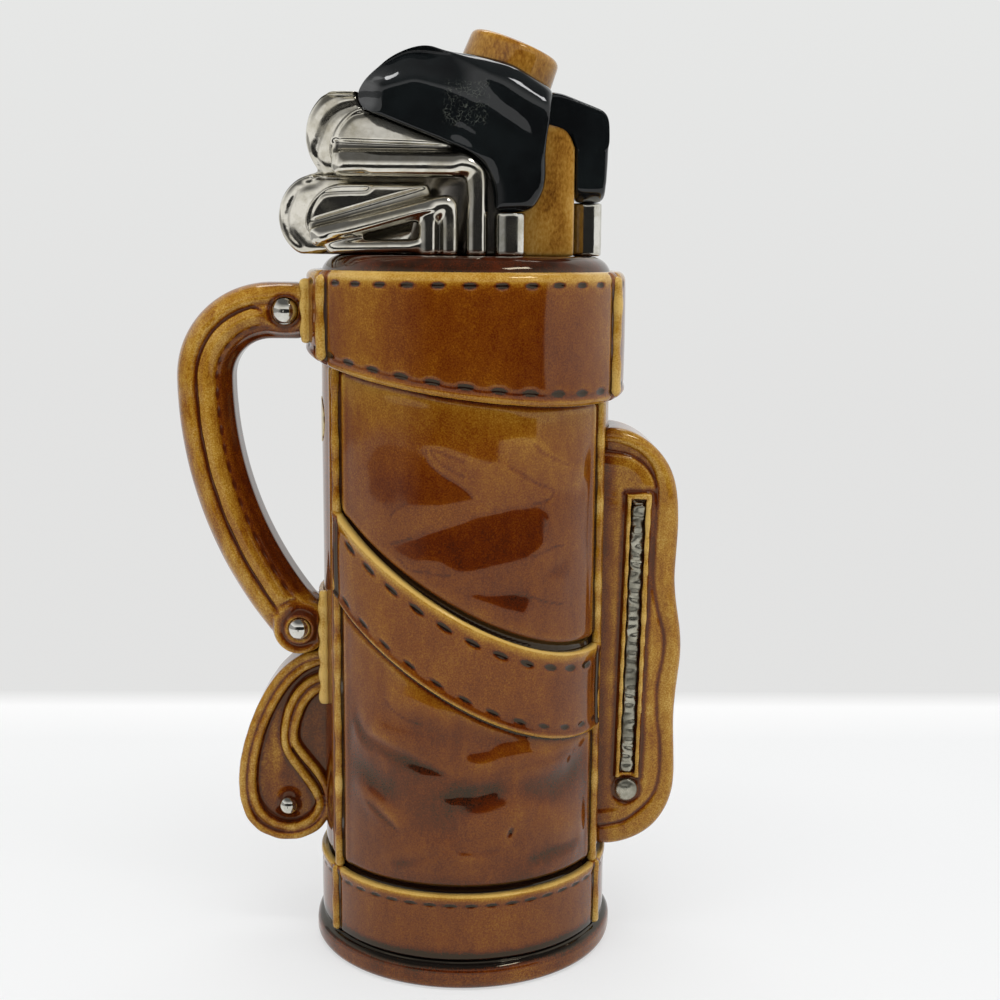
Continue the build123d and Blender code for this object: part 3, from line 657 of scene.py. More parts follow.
def make_wall():
    """A backdrop far behind, pale by its own colour, a little lighter towards its top."""
    surface = Surface("backdrop_white")
    rise = surface.spread(surface.along("Z"), 0, 1.0)
    surface.show(surface.glow(surface.ramp(rise, [(0.0, distance_colour), (1.0, (0.82, 0.83, 0.82))])))
    bm = flat(-room_half_width, room_half_width, (wall_back, 0), (wall_back, wall_high))
    wall = new_piece("backdrop", bm)
    wall.data.materials.append(surface.material)


def make_flag():
    """A dark screen behind the camera that shows only as a calm area in the glossy surfaces."""
    surface = Surface("flag_dark")
    strength = surface.spread(surface.along("X"), flag_left, flag_left + 0.6, 0.36, 0.02)
    surface.show(surface.glow(strength=strength))
    bm = flat(flag_left, flag_right, (flag_front, flag_low), (flag_front, flag_high))
    wing = [edge for edge in bm.edges if all(vertex.co.x < 0 for vertex in edge.verts)]
    grown = bmesh.ops.extrude_edge_only(bm, edges=wing)["geom"]
    bmesh.ops.translate(bm, vec=(0, flag_wing, 0), verts=only(BMVert, grown))
    flag = new_piece("flag", bm)
    flag.data.materials.append(surface.material)
    flag.visible_camera = flag.visible_diffuse = flag.visible_shadow = False


def make_world():
    """A pale room, dimmer overhead."""
    world = bpy.data.worlds.new("room")
    world.use_nodes = True
    nodes, links = world.node_tree.nodes, world.node_tree.links
    place = nodes.new("ShaderNodeTexCoord")
    apart = nodes.new("ShaderNodeSeparateXYZ")
    links.new(place.outputs["Generated"], apart.inputs[0])
    ramp = nodes.new("ShaderNodeValToRGB")
    stops = ((0.42, side_light), (0.8, ceiling_light))
    for element, (position, grey) in zip(ramp.color_ramp.elements, stops):
        element.position = position
        element.color = (grey, grey, grey, 1)
    links.new(apart.outputs["Z"], ramp.inputs["Fac"])
    links.new(ramp.outputs["Color"], nodes["Background"].inputs["Color"])
    bpy.context.scene.world = world


make_camera()
make_world()
make_table()
make_wall()
make_flag()
for name, values in lamps.items():
    make_lamp(name, *values)
bpy.context.scene.view_settings.view_transform = "Standard"


# The bag

# Facets of the creased leather: how each leans (over 0 stands out at its top), and its outline in degrees
# round the bag and millimetres up
facets = [
    (0.07, [(-15.6, 150.2), (-13.7, 151.2), (-10.0, 151.3), (-5.0, 150.3), (0.5, 148.8), (6.0, 147.4),
            (13.5, 145.8), (20.0, 143.8), (26.9, 141.1), (32.8, 139.2), (35.2, 137.5), (32.1, 136.1),
            (27.0, 135.2), (17.5, 134.5), (10.5, 133.2), (6.1, 132.8), (4.3, 135.0), (3.0, 137.7),
            (-2.5, 140.8), (-8.1, 143.1), (-13.1, 146.1)]),
    (0.035, [(-36.0, 131.2), (-29.5, 133.3), (-19.5, 134.4), (-8.0, 135.6), (0.0, 136.8), (3.0, 137.2),
             (6.0, 133.0), (-2.5, 130.3), (-13.7, 128.0), (-24.3, 125.3), (-34.0, 124.0),
             (-41.0, 127.6)]),
    (-0.04, [(-34.0, 150.5), (-24.0, 150.5), (-16.5, 147.6), (-9.3, 143.6), (-1.6, 140.4), (2.0, 137.9),
             (-8.0, 136.0), (-19.5, 134.8), (-30.0, 133.8), (-40.0, 137.0), (-40.0, 146.0)]),
    (0.14, [(13.4, 152.8), (19.8, 153.3), (28.1, 152.4), (34.2, 148.3), (42.7, 144.7), (53.0, 143.0),
            (53.3, 136.5), (37.7, 137.7), (33.6, 139.4), (26.2, 142.0), (18.6, 145.6), (14.4, 149.5)]),
    (-0.1, [(-28.5, 123.6), (-24.3, 124.8), (-19.5, 126.0), (-13.7, 127.6), (-2.5, 129.9), (7.4, 132.5),
            (17.5, 134.1), (29.9, 134.2), (33.0, 132.2), (33.7, 128.9), (32.4, 124.9), (25.9, 121.2),
            (20.4, 120.2), (7.5, 118.8), (-1.2, 118.0), (-5.5, 119.3), (-8.6, 120.8), (-20.9, 120.3),
            (-25.7, 121.6)]),
    (-0.13, [(0.1, 112.1), (6.3, 111.5), (23.9, 110.9), (25.7, 109.3), (24.0, 105.3), (14.0, 107.9),
             (4.5, 110.5)]),
    (-0.12, [(32.0, 115.5), (37.4, 117.1), (42.6, 118.3), (43.7, 113.3), (35.8, 114.3)]),
    (-0.26, [(-42.0, 70.2), (-28.1, 66.9), (-19.6, 64.9), (-11.0, 62.7), (-3.3, 60.3), (-8.4, 60.9),
             (-17.6, 61.0), (-25.9, 62.4), (-34.3, 65.1), (-41.1, 68.0)]),
    (0.2, [(-42.0, 70.2), (-35.9, 70.7), (-26.6, 69.0), (-17.6, 66.5), (-8.4, 63.2), (-3.3, 60.3),
           (-11.0, 62.7), (-19.6, 64.9), (-28.1, 66.9)]),
    (-0.24, [(-47.8, 73.6), (-43.8, 71.4), (-41.1, 68.0), (-35.1, 65.0), (-40.2, 65.2), (-45.8, 68.1),
             (-48.9, 71.5)]),
    (-0.32, [(-41.3, 50.7), (-36.1, 49.4), (-29.7, 46.0), (-26.0, 43.8), (-29.0, 44.4), (-35.3, 46.6),
             (-40.4, 49.2)]),
    (0.2, [(-41.3, 50.7), (-37.7, 51.6), (-31.3, 48.7), (-24.6, 44.3), (-26.0, 43.8), (-29.7, 46.0),
           (-36.1, 49.4)]),
    (-0.17, [(-13.6, 54.9), (-4.6, 54.8), (5.6, 57.6), (14.6, 56.3), (12.0, 54.5), (3.7, 53.6),
             (-4.6, 52.9)]),
    (-0.19, [(1.7, 67.2), (8.0, 67.3), (11.9, 65.9), (6.8, 64.5), (1.7, 65.3)]),
    (-0.18, [(-8.4, 58.0), (8.1, 61.4), (24.8, 63.2), (45.4, 64.9), (45.5, 62.9), (24.9, 61.6),
             (8.1, 59.7)]),
    (-0.23, [(-4.5, 39.9), (5.1, 39.9), (14.9, 39.9), (12.2, 37.7), (-0.7, 37.6)]),
    (-0.26, [(-32.1, 33.0), (-21.0, 35.9), (-8.4, 38.9), (-11.0, 36.8), (-23.2, 33.3)]),
    (-0.23, [(25.3, 35.4), (37.1, 36.5), (50.7, 36.7), (52.0, 34.4), (38.9, 33.7), (29.1, 32.9)]),
]
# Soft folds: angle and height of both ends, half width, and how far each stands out
soft_folds = [(-50, 75, -6, 65, 4.4, 0.95), (-46, 56, -20, 45, 3.2, 0.6), (-8, 63, 50, 67, 5.6, 1.05),
              (-8, 55.5, 22, 57, 4.4, -0.9), (18, 44, 20, 43, 1.3, -0.7), (-36, 36, 20, 42, 4.6, 0.85),
              (-34, 82, -4, 77, 4.4, 0.8), (22, 54, 60, 59, 4.8, -0.9), (30, 48, 58, 39, 4.6, 0.85),
              (2, 69, 50, 73, 4.4, -0.75), (-50, 62, -20, 54, 4.2, -0.65), (-2, 47, 40, 50, 5.0, 0.65)]
# Thin creases between the facets
creases = [
    [(-15.0, 150.3), (-13.7, 146.8), (-8.1, 143.4), (-1.3, 140.4), (3.0, 137.7)],
    [(-0.7, 143.2), (-5.6, 145.2), (-9.9, 147.3), (-12.8, 150.3), (-5.0, 148.5), (-0.7, 147.2)],
    [(16.7, 145.9), (25.5, 142.0), (30.5, 140.2), (34.4, 139.3), (36.0, 137.9), (33.7, 136.2),
     (27.0, 135.2)],
    [(-28.5, 132.3), (-25.6, 134.2), (-22.9, 135.3)],
    [(-28.5, 124.5), (-20.2, 126.4)],
    [(-25.7, 120.7), (-22.2, 118.2), (-17.6, 117.5), (-5.5, 116.8)],
    [(25.9, 121.0), (34.0, 122.7), (40.7, 123.3)],
    [(26.1, 151.5), (30.3, 149.1), (42.6, 145.1)],
    [(26.1, 110.2), (33.6, 108.0), (40.3, 106.9)],
    [(-31.8, 80.7), (-27.3, 77.9), (-21.7, 76.1), (-16.3, 75.1)],
    [(18.2, 44.2), (19.5, 43.4)],
    [(-41.3, 50.5), (-35.3, 48.1), (-26.7, 44.0)],
]
# The maps of the front panel: degrees to either side, millimetres up, and their grain; and a degree's length
facet_width, facet_low, facet_high, facet_step = 66, 18, 180, 0.5
body_arc = radians(1) * body_radius / mm


def within(u, v, outline):
    """Whether places lie inside a closed outline."""
    inside = np.zeros(u.shape, bool)
    for (u0, v0), (u1, v1) in zip(outline, outline[1:] + outline[:1]):
        inside ^= ((v0 > v) != (v1 > v)) & (u < (u1 - u0) * (v - v0) / (v1 - v0 + 1e-9) + u0)
    return inside


def creased_wall():
    """Two maps of the front panel: heights in mm that slope as the facets lean, and how dark they are painted
    where they lean in, for glaze pooled there and for painted shade.
    """
    angles = np.arange(-facet_width, facet_width, facet_step / body_arc)
    u, v = np.meshgrid(angles, np.arange(facet_low, facet_high, facet_step))
    slope = np.zeros(u.shape)
    for lean, outline in facets:
        slope[within(u, v, outline)] = lean
    mirrored = np.block([[slope, slope[:, ::-1]], [-slope[::-1], -slope[::-1, ::-1]]])
    rise, across = [2 * pi * np.fft.fftfreq(count, facet_step) for count in mirrored.shape]
    rise, across = rise[:, None], across[None, :]
    waves = np.fft.fft2(mirrored) * np.exp(-(rise ** 2 + across ** 2) * 0.35 ** 2 / 2)
    heights = -1j * rise * waves / (rise ** 2 + 0.06 * across ** 2 + 0.002)
    hollows_and_shade = -waves * np.exp(-(rise ** 2 + across ** 2) / 2)
    return [np.real(np.fft.ifft2(part))[:slope.shape[0], :slope.shape[1]] for part in (heights, hollows_and_shade)]


def on_front(angle, height):
    """Places of both panels as if on the front one; the back is its mirror image under a higher sash."""
    back = np.abs(angle - 180) < 90
    return np.where(back, 180 - angle, angle), np.where(back, height - 26 * step(45, 105, height), height)


def fold_relief(angle, height):
    """How far the leather's folds stand out of the wall in millimetres, and how dark each place is painted,
    for glaze pooled in the hollows and for painted shade.
    """
    u, v = on_front(angle, height)
    maps = creased_wall()
    column = np.clip((u + facet_width) * body_arc / facet_step, 0, maps[0].shape[1] - 1.001)
    row = np.clip((v - facet_low) / facet_step, 0, maps[0].shape[0] - 1.001)
    left, low = column.astype(int), row.astype(int)
    a, b = column - left, row - low
    heights, hollows_and_shade = [wall[low, left] * (1 - a) * (1 - b) + wall[low, left + 1] * a * (1 - b)
                        + wall[low + 1, left] * (1 - a) * b + wall[low + 1, left + 1] * a * b
                        for wall in maps]
    heights += 0.12 * np.sin(u / 9 + v / 13) + 0.08 * np.sin(u / 5.7 - v / 9 + 2)
    place = np.stack([u * body_arc + 1.4 * np.sin(v / 7.3 + 0.6), v + 0.9 * np.sin(u / 6.1 + 1.2)], 1)
    for a0, h0, a1, h1, width, rise in soft_folds:
        run = np.array([(a1 - a0) * body_arc, h1 - h0])
        away = place - (a0 * body_arc, h0)
        along = np.clip(away @ run / (run @ run), 0, 1)
        fold = rise * np.sin(pi * along) * bump(np.hypot(*(away - along[:, None] * run).T), width)
        heights += fold
        # Sunk folds darker and raised folds lighter: glaze thicker and thinner there, with painted shade and
        # painted light from the folds' tilt
        hollows_and_shade -= 0.24 * fold
    return heights, hollows_and_shade


def crease_marks(angle, height):
    """1 along the thin creases, falling to 0 beside them."""
    u, v = on_front(angle, height)
    marks = np.zeros(len(u))
    for line in creases:
        run = smooth_line([(turn * body_arc, up) for turn, up in line], 4)
        marks = np.maximum(marks, bump(to_line(u * body_arc, v, run)[0], 0.32))
    return marks


def seam_distance(co, ground):
    """Distance along a round wall to the nearest seam."""
    angle = angle_of(co)
    gaps = [np.abs((angle - at + 180) % 360 - 180) for at in seam_angles.values()]
    return np.min(gaps, axis=0) * radians(1) * ground


def crowded(co, share):
    """Crowds the columns of a turned shape together towards the front and the back."""
    angle, radius = angle_of(co), radius_of(co)
    angle = np.radians(angle) - share / 2 * np.sin(2 * np.radians(angle))
    return np.stack([radius * np.sin(angle), -radius * np.cos(angle), co[:, 2]], 1)


def make_body():
    wall, floor, inner_round, fine_low, fine_high = 4 * mm, 5 * mm, 6 * mm, band_high - 3 * mm, 177 * mm
    inner = body_radius - wall
    low_corner = corner((inner - inner_round, shell_low + floor + inner_round), inner_round, -90, 0)
    profile = [(0, shell_low), (body_radius, shell_low)]
    profile += finer([(body_radius, fine_low), (body_radius, fine_high)], 0.62 * mm)
    profile += [(body_radius, shell_high), (inner, shell_high)]
    profile += low_corner[::-1] + [(0, shell_low + floor)]
    body = turned("bag_body", profile, 372, closed=False)
    co = crowded(points_of(body.data), 0.3)
    radius, angle, height = radius_of(co), angle_of(co), co[:, 2]
    over_sash = height - sash_height(co[:, 0], co[:, 1])
    banded = ((angle > seam_angles["front_left"]) & (angle < seam_angles["front_right"])
              | (angle > seam_angles["back_right"]) & (angle < seam_angles["back_left"]))
    sash_gap = np.where(banded, np.abs(over_sash) - sash_half_width, 50 * mm)
    cuff_gap = cuff_edge_height(co[:, 0], co[:, 1]) - height
    seam_gap = seam_distance(co, body_radius)
    calm = (step(0.5 * mm, 5 * mm, sash_gap) * step(1 * mm, 5 * mm, cuff_gap)
            * step(3 * mm, 8 * mm, seam_gap))
    calm *= step(band_high + 1 * mm, band_high + 7 * mm, height) * np.where(banded, 1, 0.25)
    folds, hollows_and_shade = fold_relief(angle, height / mm)
    marks = crease_marks(angle, height / mm) * calm * banded
    relief = (folds * calm - 0.04 * marks) * mm
    upper_edge = np.maximum(sash_gap, 0) + 50 * mm * (over_sash < 0)
    lower_edge = np.maximum(sash_gap, 0) + 50 * mm * (over_sash > 0)
    edge_dips = 1.3 * bump(upper_edge - 0.6 * mm, 1.3 * mm) + 0.45 * bump(lower_edge - 0.9 * mm, 1.0 * mm)
    edge_dips += 1.7 * bump(height - band_high - 0.3 * mm, 1.6 * mm)
    edge_dips += 0.5 * bump(cuff_gap - 0.8 * mm, 1 * mm) + 0.45 * bump(seam_gap - 2.3 * mm, 0.8 * mm)
    edge_dips -= 0.25 * bump(seam_gap - 4.3 * mm, 1.0 * mm)
    relief -= edge_dips * mm
    swell(body, co, np.maximum(radius, 1 * mm), relief, radius > body_radius - 1 * mm, (4, 14))
    # Darker along the joins under the sash and the cuff, above the bottom band and beside the seams: glaze
    # pooled there, with painted shade
    pool_and_shade = 0.8 * bump(upper_edge, 1.9 * mm) + 0.5 * bump(lower_edge, 1.2 * mm)
    pool_and_shade += (0.8 * bump(np.maximum(height - band_high, 0), 2.5 * mm)
             + 0.5 * bump(np.maximum(cuff_gap, 0), 1.2 * mm))
    pool_and_shade += 0.36 * bump(np.maximum(seam_gap - 1.4 * mm, 0), 0.9 * mm)
    # Creases darker where glaze pools; the folds' hollows darker with pooled glaze and painted shade
    pool_and_shade = np.clip(pool_and_shade, 0, 0.8) + 0.13 * marks + np.clip(hollows_and_shade, -0.05, 0.11) * calm * banded
    # Darker towards the bottom and lighter towards the top
    pool_and_shade += 0.085 * step(88 * mm, 72 * mm, height) - 0.05 * step(135 * mm, 155 * mm, height)
    # Lighter in broad bands under the cuff and under the sash
    pool_and_shade -= (0.13 * bump(np.maximum(cuff_gap, 0), 11 * mm)
             + 0.15 * bump(lower_edge, 4.5 * mm) * (lower_edge > 1.3 * mm))
    store(body, "pool_and_shade", pool_and_shade)
    dress(body, "bag_shell", "bottle", leather)


def stitch_row(along, across, pitch, length, width, wobble=0.0):
    """1 in the oval dents of a row of stitches, and 0 between them; lengths alike."""
    number = np.round(along / pitch)
    shift = wobble * np.sin(number * 12.9) * pitch
    local = along - number * pitch - shift
    lift = across + 0.3 * wobble * width * np.sin(number * 7.7)
    return np.exp(-((local / (length / 2)) ** 2 + (lift / (width / 2)) ** 2) ** 1.6)


def band_profile(inner, outer, low, high, edge, spacing, lip=0.0):
    """A flat band's closed profile, with round edges and a lip along its top."""
    face = [(outer, low + edge)] + [(outer, high - edge - 2.2 * mm), (outer + lip, high - edge - 0.6 * mm)]
    profile = corner((outer - edge, low + edge), edge, -90, 0, 4)[:-1]
    profile += finer(face, spacing)
    profile += corner((outer + lip - edge, high - edge), edge, 0, 90, 5)
    return [(inner, low)] + profile + [(inner, high)]


def make_bottom_band():
    inner, outer, row_start = body_radius - 0.6 * mm, band_radius, 3.0
    profile = band_profile(inner, outer, foot_high, band_high, 0.8 * mm, 0.45 * mm, 0.35 * mm)
    band = turned("bottom_band_skin", profile, 580)
    co = points_of(band.data)
    radius, angle, height, seam_gap = radius_of(co), angle_of(co), co[:, 2], seam_distance(co, outer)
    arc = radians(1) * outer
    row = stitch_row((angle - row_start) * arc, height - (band_high - 2.9 * mm), *band_stitches)
    row *= seam_gap > 3 * mm
    rise = (height - foot_high) / (band_high - foot_high)
    wave = 0.12 * np.sin(np.radians(angle) * 7) * np.sin(pi * rise)
    relief = wave * mm - 0.35 * mm * row - 0.3 * mm * bump(seam_gap - 2.1 * mm, 0.7 * mm)
    # Darker at the stitches where glaze pools, and along the join with the foot: pooled glaze with painted
    # shade
    pool_and_shade = 0.5 * row + 0.75 * bump(height - foot_high, 2.0 * mm)
    pool_and_shade -= 0.1 * step(band_high - 1.7 * mm, band_high - 0.9 * mm, height)
    pool_and_shade += 0.4 * bump(np.maximum(seam_gap - 1.4 * mm, 0), 0.7 * mm)
    swell(band, co, radius, relief, radius > outer - 0.9 * mm)
    store(band, "pool_and_shade", pool_and_shade)
    dress(band, "bottom_band", "bottle", leather)


def make_sash(name, start, end):
    inner, outer = body_radius - 0.8 * mm, body_radius + 1.25 * mm
    half = sash_half_width
    profile = band_profile(inner, outer, -half, half, 0.9 * mm, 0.5 * mm, 0.3 * mm)
    steps = round((end - start) * radians(1) * outer / (0.5 * mm))
    sash = turned(f"{name}_skin", profile, steps, start, end)
    co = points_of(sash.data)
    radius, angle, across = radius_of(co), angle_of(co), co[:, 2].copy()
    rim = outer / radius
    co[:, 2] += sash_height(co[:, 0] * rim, co[:, 1] * rim)
    middle = (start + end) / 2
    angle = np.where(angle - middle < -180, angle + 360, angle)
    along = (angle - middle) * radians(1) * outer
    upper = stitch_row(along, across - (half - 4.4 * mm), *sash_upper_stitches)
    lower = stitch_row(along + 2 * mm, across + (half - 3.4 * mm), *sash_lower_stitches)
    seam_gap = seam_distance(co, outer)
    clear = step(2.5 * mm, 4 * mm, seam_gap)
    fold = 0.35 * np.sin(along / (9 * mm) + across / (7 * mm)) * (1 - (across / half) ** 2)
    edge = 0.25 * bump(across + half - 1.1 * mm, 0.8 * mm)
    relief = (fold * 0.5 + edge) * mm - (0.4 * upper + 0.35 * lower) * clear * mm
    relief -= 0.4 * mm * bump(seam_gap - 2.2 * mm, 0.8 * mm)
    swell(sash, co, radius, relief, radius > outer - 1.1 * mm)
    gold = step(half - 5 * mm, half - 1.5 * mm, across)
    # Stitch dents darker where glaze pools, lighter towards the upper edge where it runs thin, and a painted
    # reflection lighter round 45 degrees left of the front
    pool_and_shade = (0.75 * upper + 0.4 * lower) * clear - 0.16 * gold - 0.08 * bump(angle + 45, 22)
    # Darker along the lower edge: glaze pooled at the join, with painted shade
    pool_and_shade += 0.12 * bump(across + half - 1.1 * mm, 1.2 * mm)
    pool_and_shade += 0.32 * bump(np.maximum(seam_gap - 1.5 * mm, 0), 0.9 * mm)
    store(sash, "pool_and_shade", pool_and_shade)
    dress(sash, name, "bottle", leather)


def make_cuff():
    inner, outer = body_radius - 0.3 * mm, cuff_radius
    rim = 2.3 * mm
    low, high = cuff_low, cuff_high
    lower = corner((outer - 1.4 * mm, low + 1.4 * mm), 1.4 * mm, -90, 0, 5)
    face = finer([(outer, low + 1.4 * mm), (outer, high - rim)], 0.5 * mm)[1:-1]
    top = corner((outer - rim, high - rim), rim, 0, 90, 9)
    top += corner((inner + 1.2 * mm, high - 1.2 * mm), 1.2 * mm, 90, 180, 5)
    cuff = turned("top_cuff_skin", [(inner, low)] + lower + face + top, 600)
    co = points_of(cuff.data)
    radius, angle = radius_of(co), angle_of(co)
    share = np.clip((high - co[:, 2]) / (high - low), 0, 1)
    at_rim = outer / radius
    co[:, 2] += share * (cuff_edge_height(co[:, 0] * at_rim, co[:, 1] * at_rim) - low)
    height = co[:, 2]
    edge_gap = height - cuff_edge_height(co[:, 0], co[:, 1])
    arc = radians(1) * outer
    upper = stitch_row(angle * arc - 1 * mm, height - (high - 3.3 * mm), *cuff_upper_stitches)
    lower = stitch_row(angle * arc, edge_gap - 3.6 * mm, *cuff_lower_stitches)
    seam_gap = seam_distance(co, outer)
    clear = step(2.6 * mm, 4 * mm, seam_gap) * (radius > outer - 0.6 * mm)
    wave = 0.2 * np.sin(np.radians(angle) * 5 + 1) * np.sin(pi * share)
    relief = (wave - (0.42 * upper + 0.36 * lower) * clear) * mm
    relief += 0.35 * mm * bump(edge_gap - 1.3 * mm, 0.9 * mm)
    relief -= 0.14 * mm * bump(edge_gap - 2.9 * mm, 0.6 * mm)
    relief -= 0.5 * mm * bump(seam_gap - 2.7 * mm, 0.9 * mm)
    swell(cuff, co, radius, relief, radius > outer - 1.2 * mm)
    gold = step(high - 5 * mm, high - 1.5 * mm, height) * (radius > body_radius + 1.5 * mm)
    # Stitch dents darker where glaze pools, the rim lighter where it runs thin, and darker along the lower
    # edge
    pool_and_shade = (0.75 * upper + 0.7 * lower) * clear - 0.2 * gold + 0.22 * bump(edge_gap - 0.8 * mm, 1.5 * mm)
    # Painted reflections: lighter round 38 degrees left and 58 degrees right of the front
    pool_and_shade -= 0.13 * bump(angle + 38, 17) + 0.08 * bump(angle - 58, 12)
    pool_and_shade += 0.32 * bump(np.maximum(seam_gap - 1.9 * mm, 0), 0.9 * mm)
    store(cuff, "pool_and_shade", pool_and_shade)
    dress(cuff, "top_cuff", "bottle", leather)


def make_foot():
    flare = foot_radius
    profile = [(body_radius - 6 * mm, 0)] + corner((flare - 2.2 * mm, 2.2 * mm), 2.2 * mm, -90, 0, 6)
    profile += [(flare, 4.6 * mm)] + corner((flare - 2.6 * mm, 4.6 * mm), 2.6 * mm, 20, 80, 6)
    profile += [(band_radius - 0.3 * mm, foot_high - 0.6 * mm), (body_radius - 0.5 * mm, foot_high),
                (body_radius - 6 * mm, shell_low + 0.1 * mm)]
    foot = turned("foot_skin", finer(profile + profile[:1], 0.6 * mm)[:-1], 460)
    co = points_of(foot.data)
    radius, angle, height = radius_of(co), np.radians(angle_of(co)), co[:, 2]
    wave = 0.12 * mm * (np.sin(angle * 9) + np.sin(angle * 5 + 1)) * step(1 * mm, 3 * mm, height)
    swell(foot, co, radius, wave - 0.15 * mm, radius > body_radius + 1 * mm, (6, 40))
    # Darker where the band meets the foot's top and at the foot's base on the table: glaze pooled, with
    # painted shade
    pool_and_shade = 0.75 * bump(np.maximum(radius - band_radius, 0), 1.3 * mm) * (height > 5 * mm)
    store(foot, "pool_and_shade", pool_and_shade + 0.2 * bump(height, 1.6 * mm))
    dress(foot, "foot_ring", "bottle", dark)


def make_seam(node, angle, ground, radius, low, high):
    """A piped bead up the wall, a little uneven, with rounded ends."""
    sides, length = 14, high - low
    bm = bmesh.new()
    ring = [bm.verts.new((radius * cos(2 * pi * n / sides), radius * 0.9 * sin(2 * pi * n / sides), 0))
            for n in range(sides)]
    base = bm.faces.new(ring)
    steps = max(20, round(length / (0.6 * mm)))
    top = [base]
    for _ in range(steps):
        grown = bmesh.ops.extrude_face_region(bm, geom=top)["geom"]
        bmesh.ops.translate(bm, vec=(0, 0, length / steps), verts=only(BMVert, grown))
        if top[0] is not base:
            bmesh.ops.delete(bm, geom=top, context="FACES_ONLY")
        top = only(BMFace, grown)
    outward(bm)
    bead = new_piece(f"{node}_bead", bm)
    co = points_of(bead.data)
    along = co[:, 2].copy()
    ends = np.clip(np.minimum(along, length - along) / radius, 0.02, 1)
    uneven = 1 + 0.09 * np.sin(along / (3.1 * mm)) + 0.06 * np.sin(along / (1.3 * mm) + 1)
    co[:, :2] *= (np.sqrt(1 - (1 - ends) ** 2) * uneven)[:, None]
    co[:, 0] += 0.14 * mm * np.sin(along / (6.3 * mm) + angle)
    turn = np.array(Matrix.Rotation(radians(angle), 3, "Z"))
    co[:, 1] -= ground
    co = co @ turn.T
    co[:, 2] += low
    put_points(bead.data, co)
    measure_relief(bead, (4, 12))
    store(bead, "pool_and_shade", 0.12 * np.sin(along / (2.3 * mm)) * np.sin(along / (5.1 * mm) + angle) + 0.17)
    dress(bead, node, "bottle", trim)


def make_seams():
    """Beads up the body, the bottom band and the cuff at each of the four seams."""
    for place, angle in seam_angles.items():
        x, y = sin(radians(angle)), -cos(radians(angle))
        body_top = cuff_edge_height(body_radius * x, body_radius * y) + 1.2 * mm
        cuff_base = cuff_edge_height(cuff_radius * x, cuff_radius * y) + 1.0 * mm
        for kind, ground, radius, low, high in (
                ("body", body_radius, 1.35 * mm, band_high - 0.6 * mm, body_top),
                ("band", band_radius - 0.1 * mm, 1.3 * mm, foot_high - 0.4 * mm, band_high + 0.2 * mm),
                ("cuff", cuff_radius - 0.1 * mm, 1.8 * mm, cuff_base, cuff_high - 1.2 * mm)):
            make_seam(f"{kind}_seam_{place}", angle, ground, radius, low, high)


make_body()
make_foot()
make_bottom_band()
make_sash("sash_front", seam_angles["front_left"], seam_angles["front_right"])
make_sash("sash_back", seam_angles["back_right"], seam_angles["back_left"])
make_cuff()
make_seams()


def soften(name, nodes, slot, material, voxel=0.6 * mm, rounds=8, body="bottle", relief=None, pool_and_shade=None,
           extra=None, near=(6, 40), from_cad=True):
    """A casting with soft edges and its own relief, glazed and hung in place of its CAD nodes."""
    piece = casting(name, nodes if from_cad else [], voxel, rounds, extra)
    before = points_of(piece.data)
    if relief:
        raised(piece, relief)
    measure_relief(piece, near)
    store(piece, "pool_and_shade", pool_and_shade(before) if pool_and_shade else np.zeros(len(before)))
    return dress(piece, nodes, body, material)


# The handle: a doubled strap, bent by a quarter at its top and then swept down to its lug

strap_low, strap_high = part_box("handle_strap")
strap_width, bend_radius, grip_radius = 15.8 * mm, 19 * mm, 110.57 * mm
bend_x = strap_low.x + strap_width / 2 + bend_radius
bend_z = strap_high.z - strap_width / 2 - bend_radius
grip_x = bend_x - bend_radius + grip_radius
rivet_place = (-50.4 * mm, bend_z + bend_radius)
lug_place = (-47.4 * mm, 94.1 * mm)


def handle_course(co):
    """Length along the strap from its root, and distance in from its outer edge."""
    x, z = co[:, 0], co[:, 2]
    bend = np.arctan2(bend_x - x, z - bend_z)
    grip = np.arctan2(bend_z - z, grip_x - x)
    straight, low = x > bend_x, z < bend_z
    along = np.where(low, bend_radius * pi / 2 + grip_radius * grip,
                     np.where(straight, bend_x - x, bend_radius * bend))
    reach = np.where(low, np.hypot(x - grip_x, z - bend_z) - grip_radius,
                     np.where(straight, z - bend_z, np.hypot(x - bend_x, z - bend_z)) - bend_radius)
    return along, strap_width / 2 - reach


def handle_fields(co):
    along, inward = handle_course(co)
    face = step(4 * mm, 7.5 * mm, depth_of(co))
    from_rivet, from_lug = away_from(co, rivet_place), away_from(co, lug_place)
    clear = step(5 * mm, 8.5 * mm, from_rivet) * step(8 * mm, 11 * mm, from_lug) * face
    low = step(bend_z - 4 * mm, bend_z + 6 * mm, co[:, 2])
    groove_at = 6.3 * mm + 2.2 * mm * low * step(-60 * mm, -54 * mm, co[:, 0])
    groove = bump(inward - groove_at, 0.45 * mm) * clear
    stitches = stitch_row(along, inward - 12.2 * mm, *handle_stitches) * clear
    turn = (lug_place[0] - co[:, 0]) * 0.85 + (lug_place[1] - co[:, 2]) * 0.5
    lug_side = step(-0.5, 0.35, turn / np.maximum(from_lug, 1 * mm))
    return along, inward, face, from_rivet, from_lug, clear, groove, stitches, lug_side


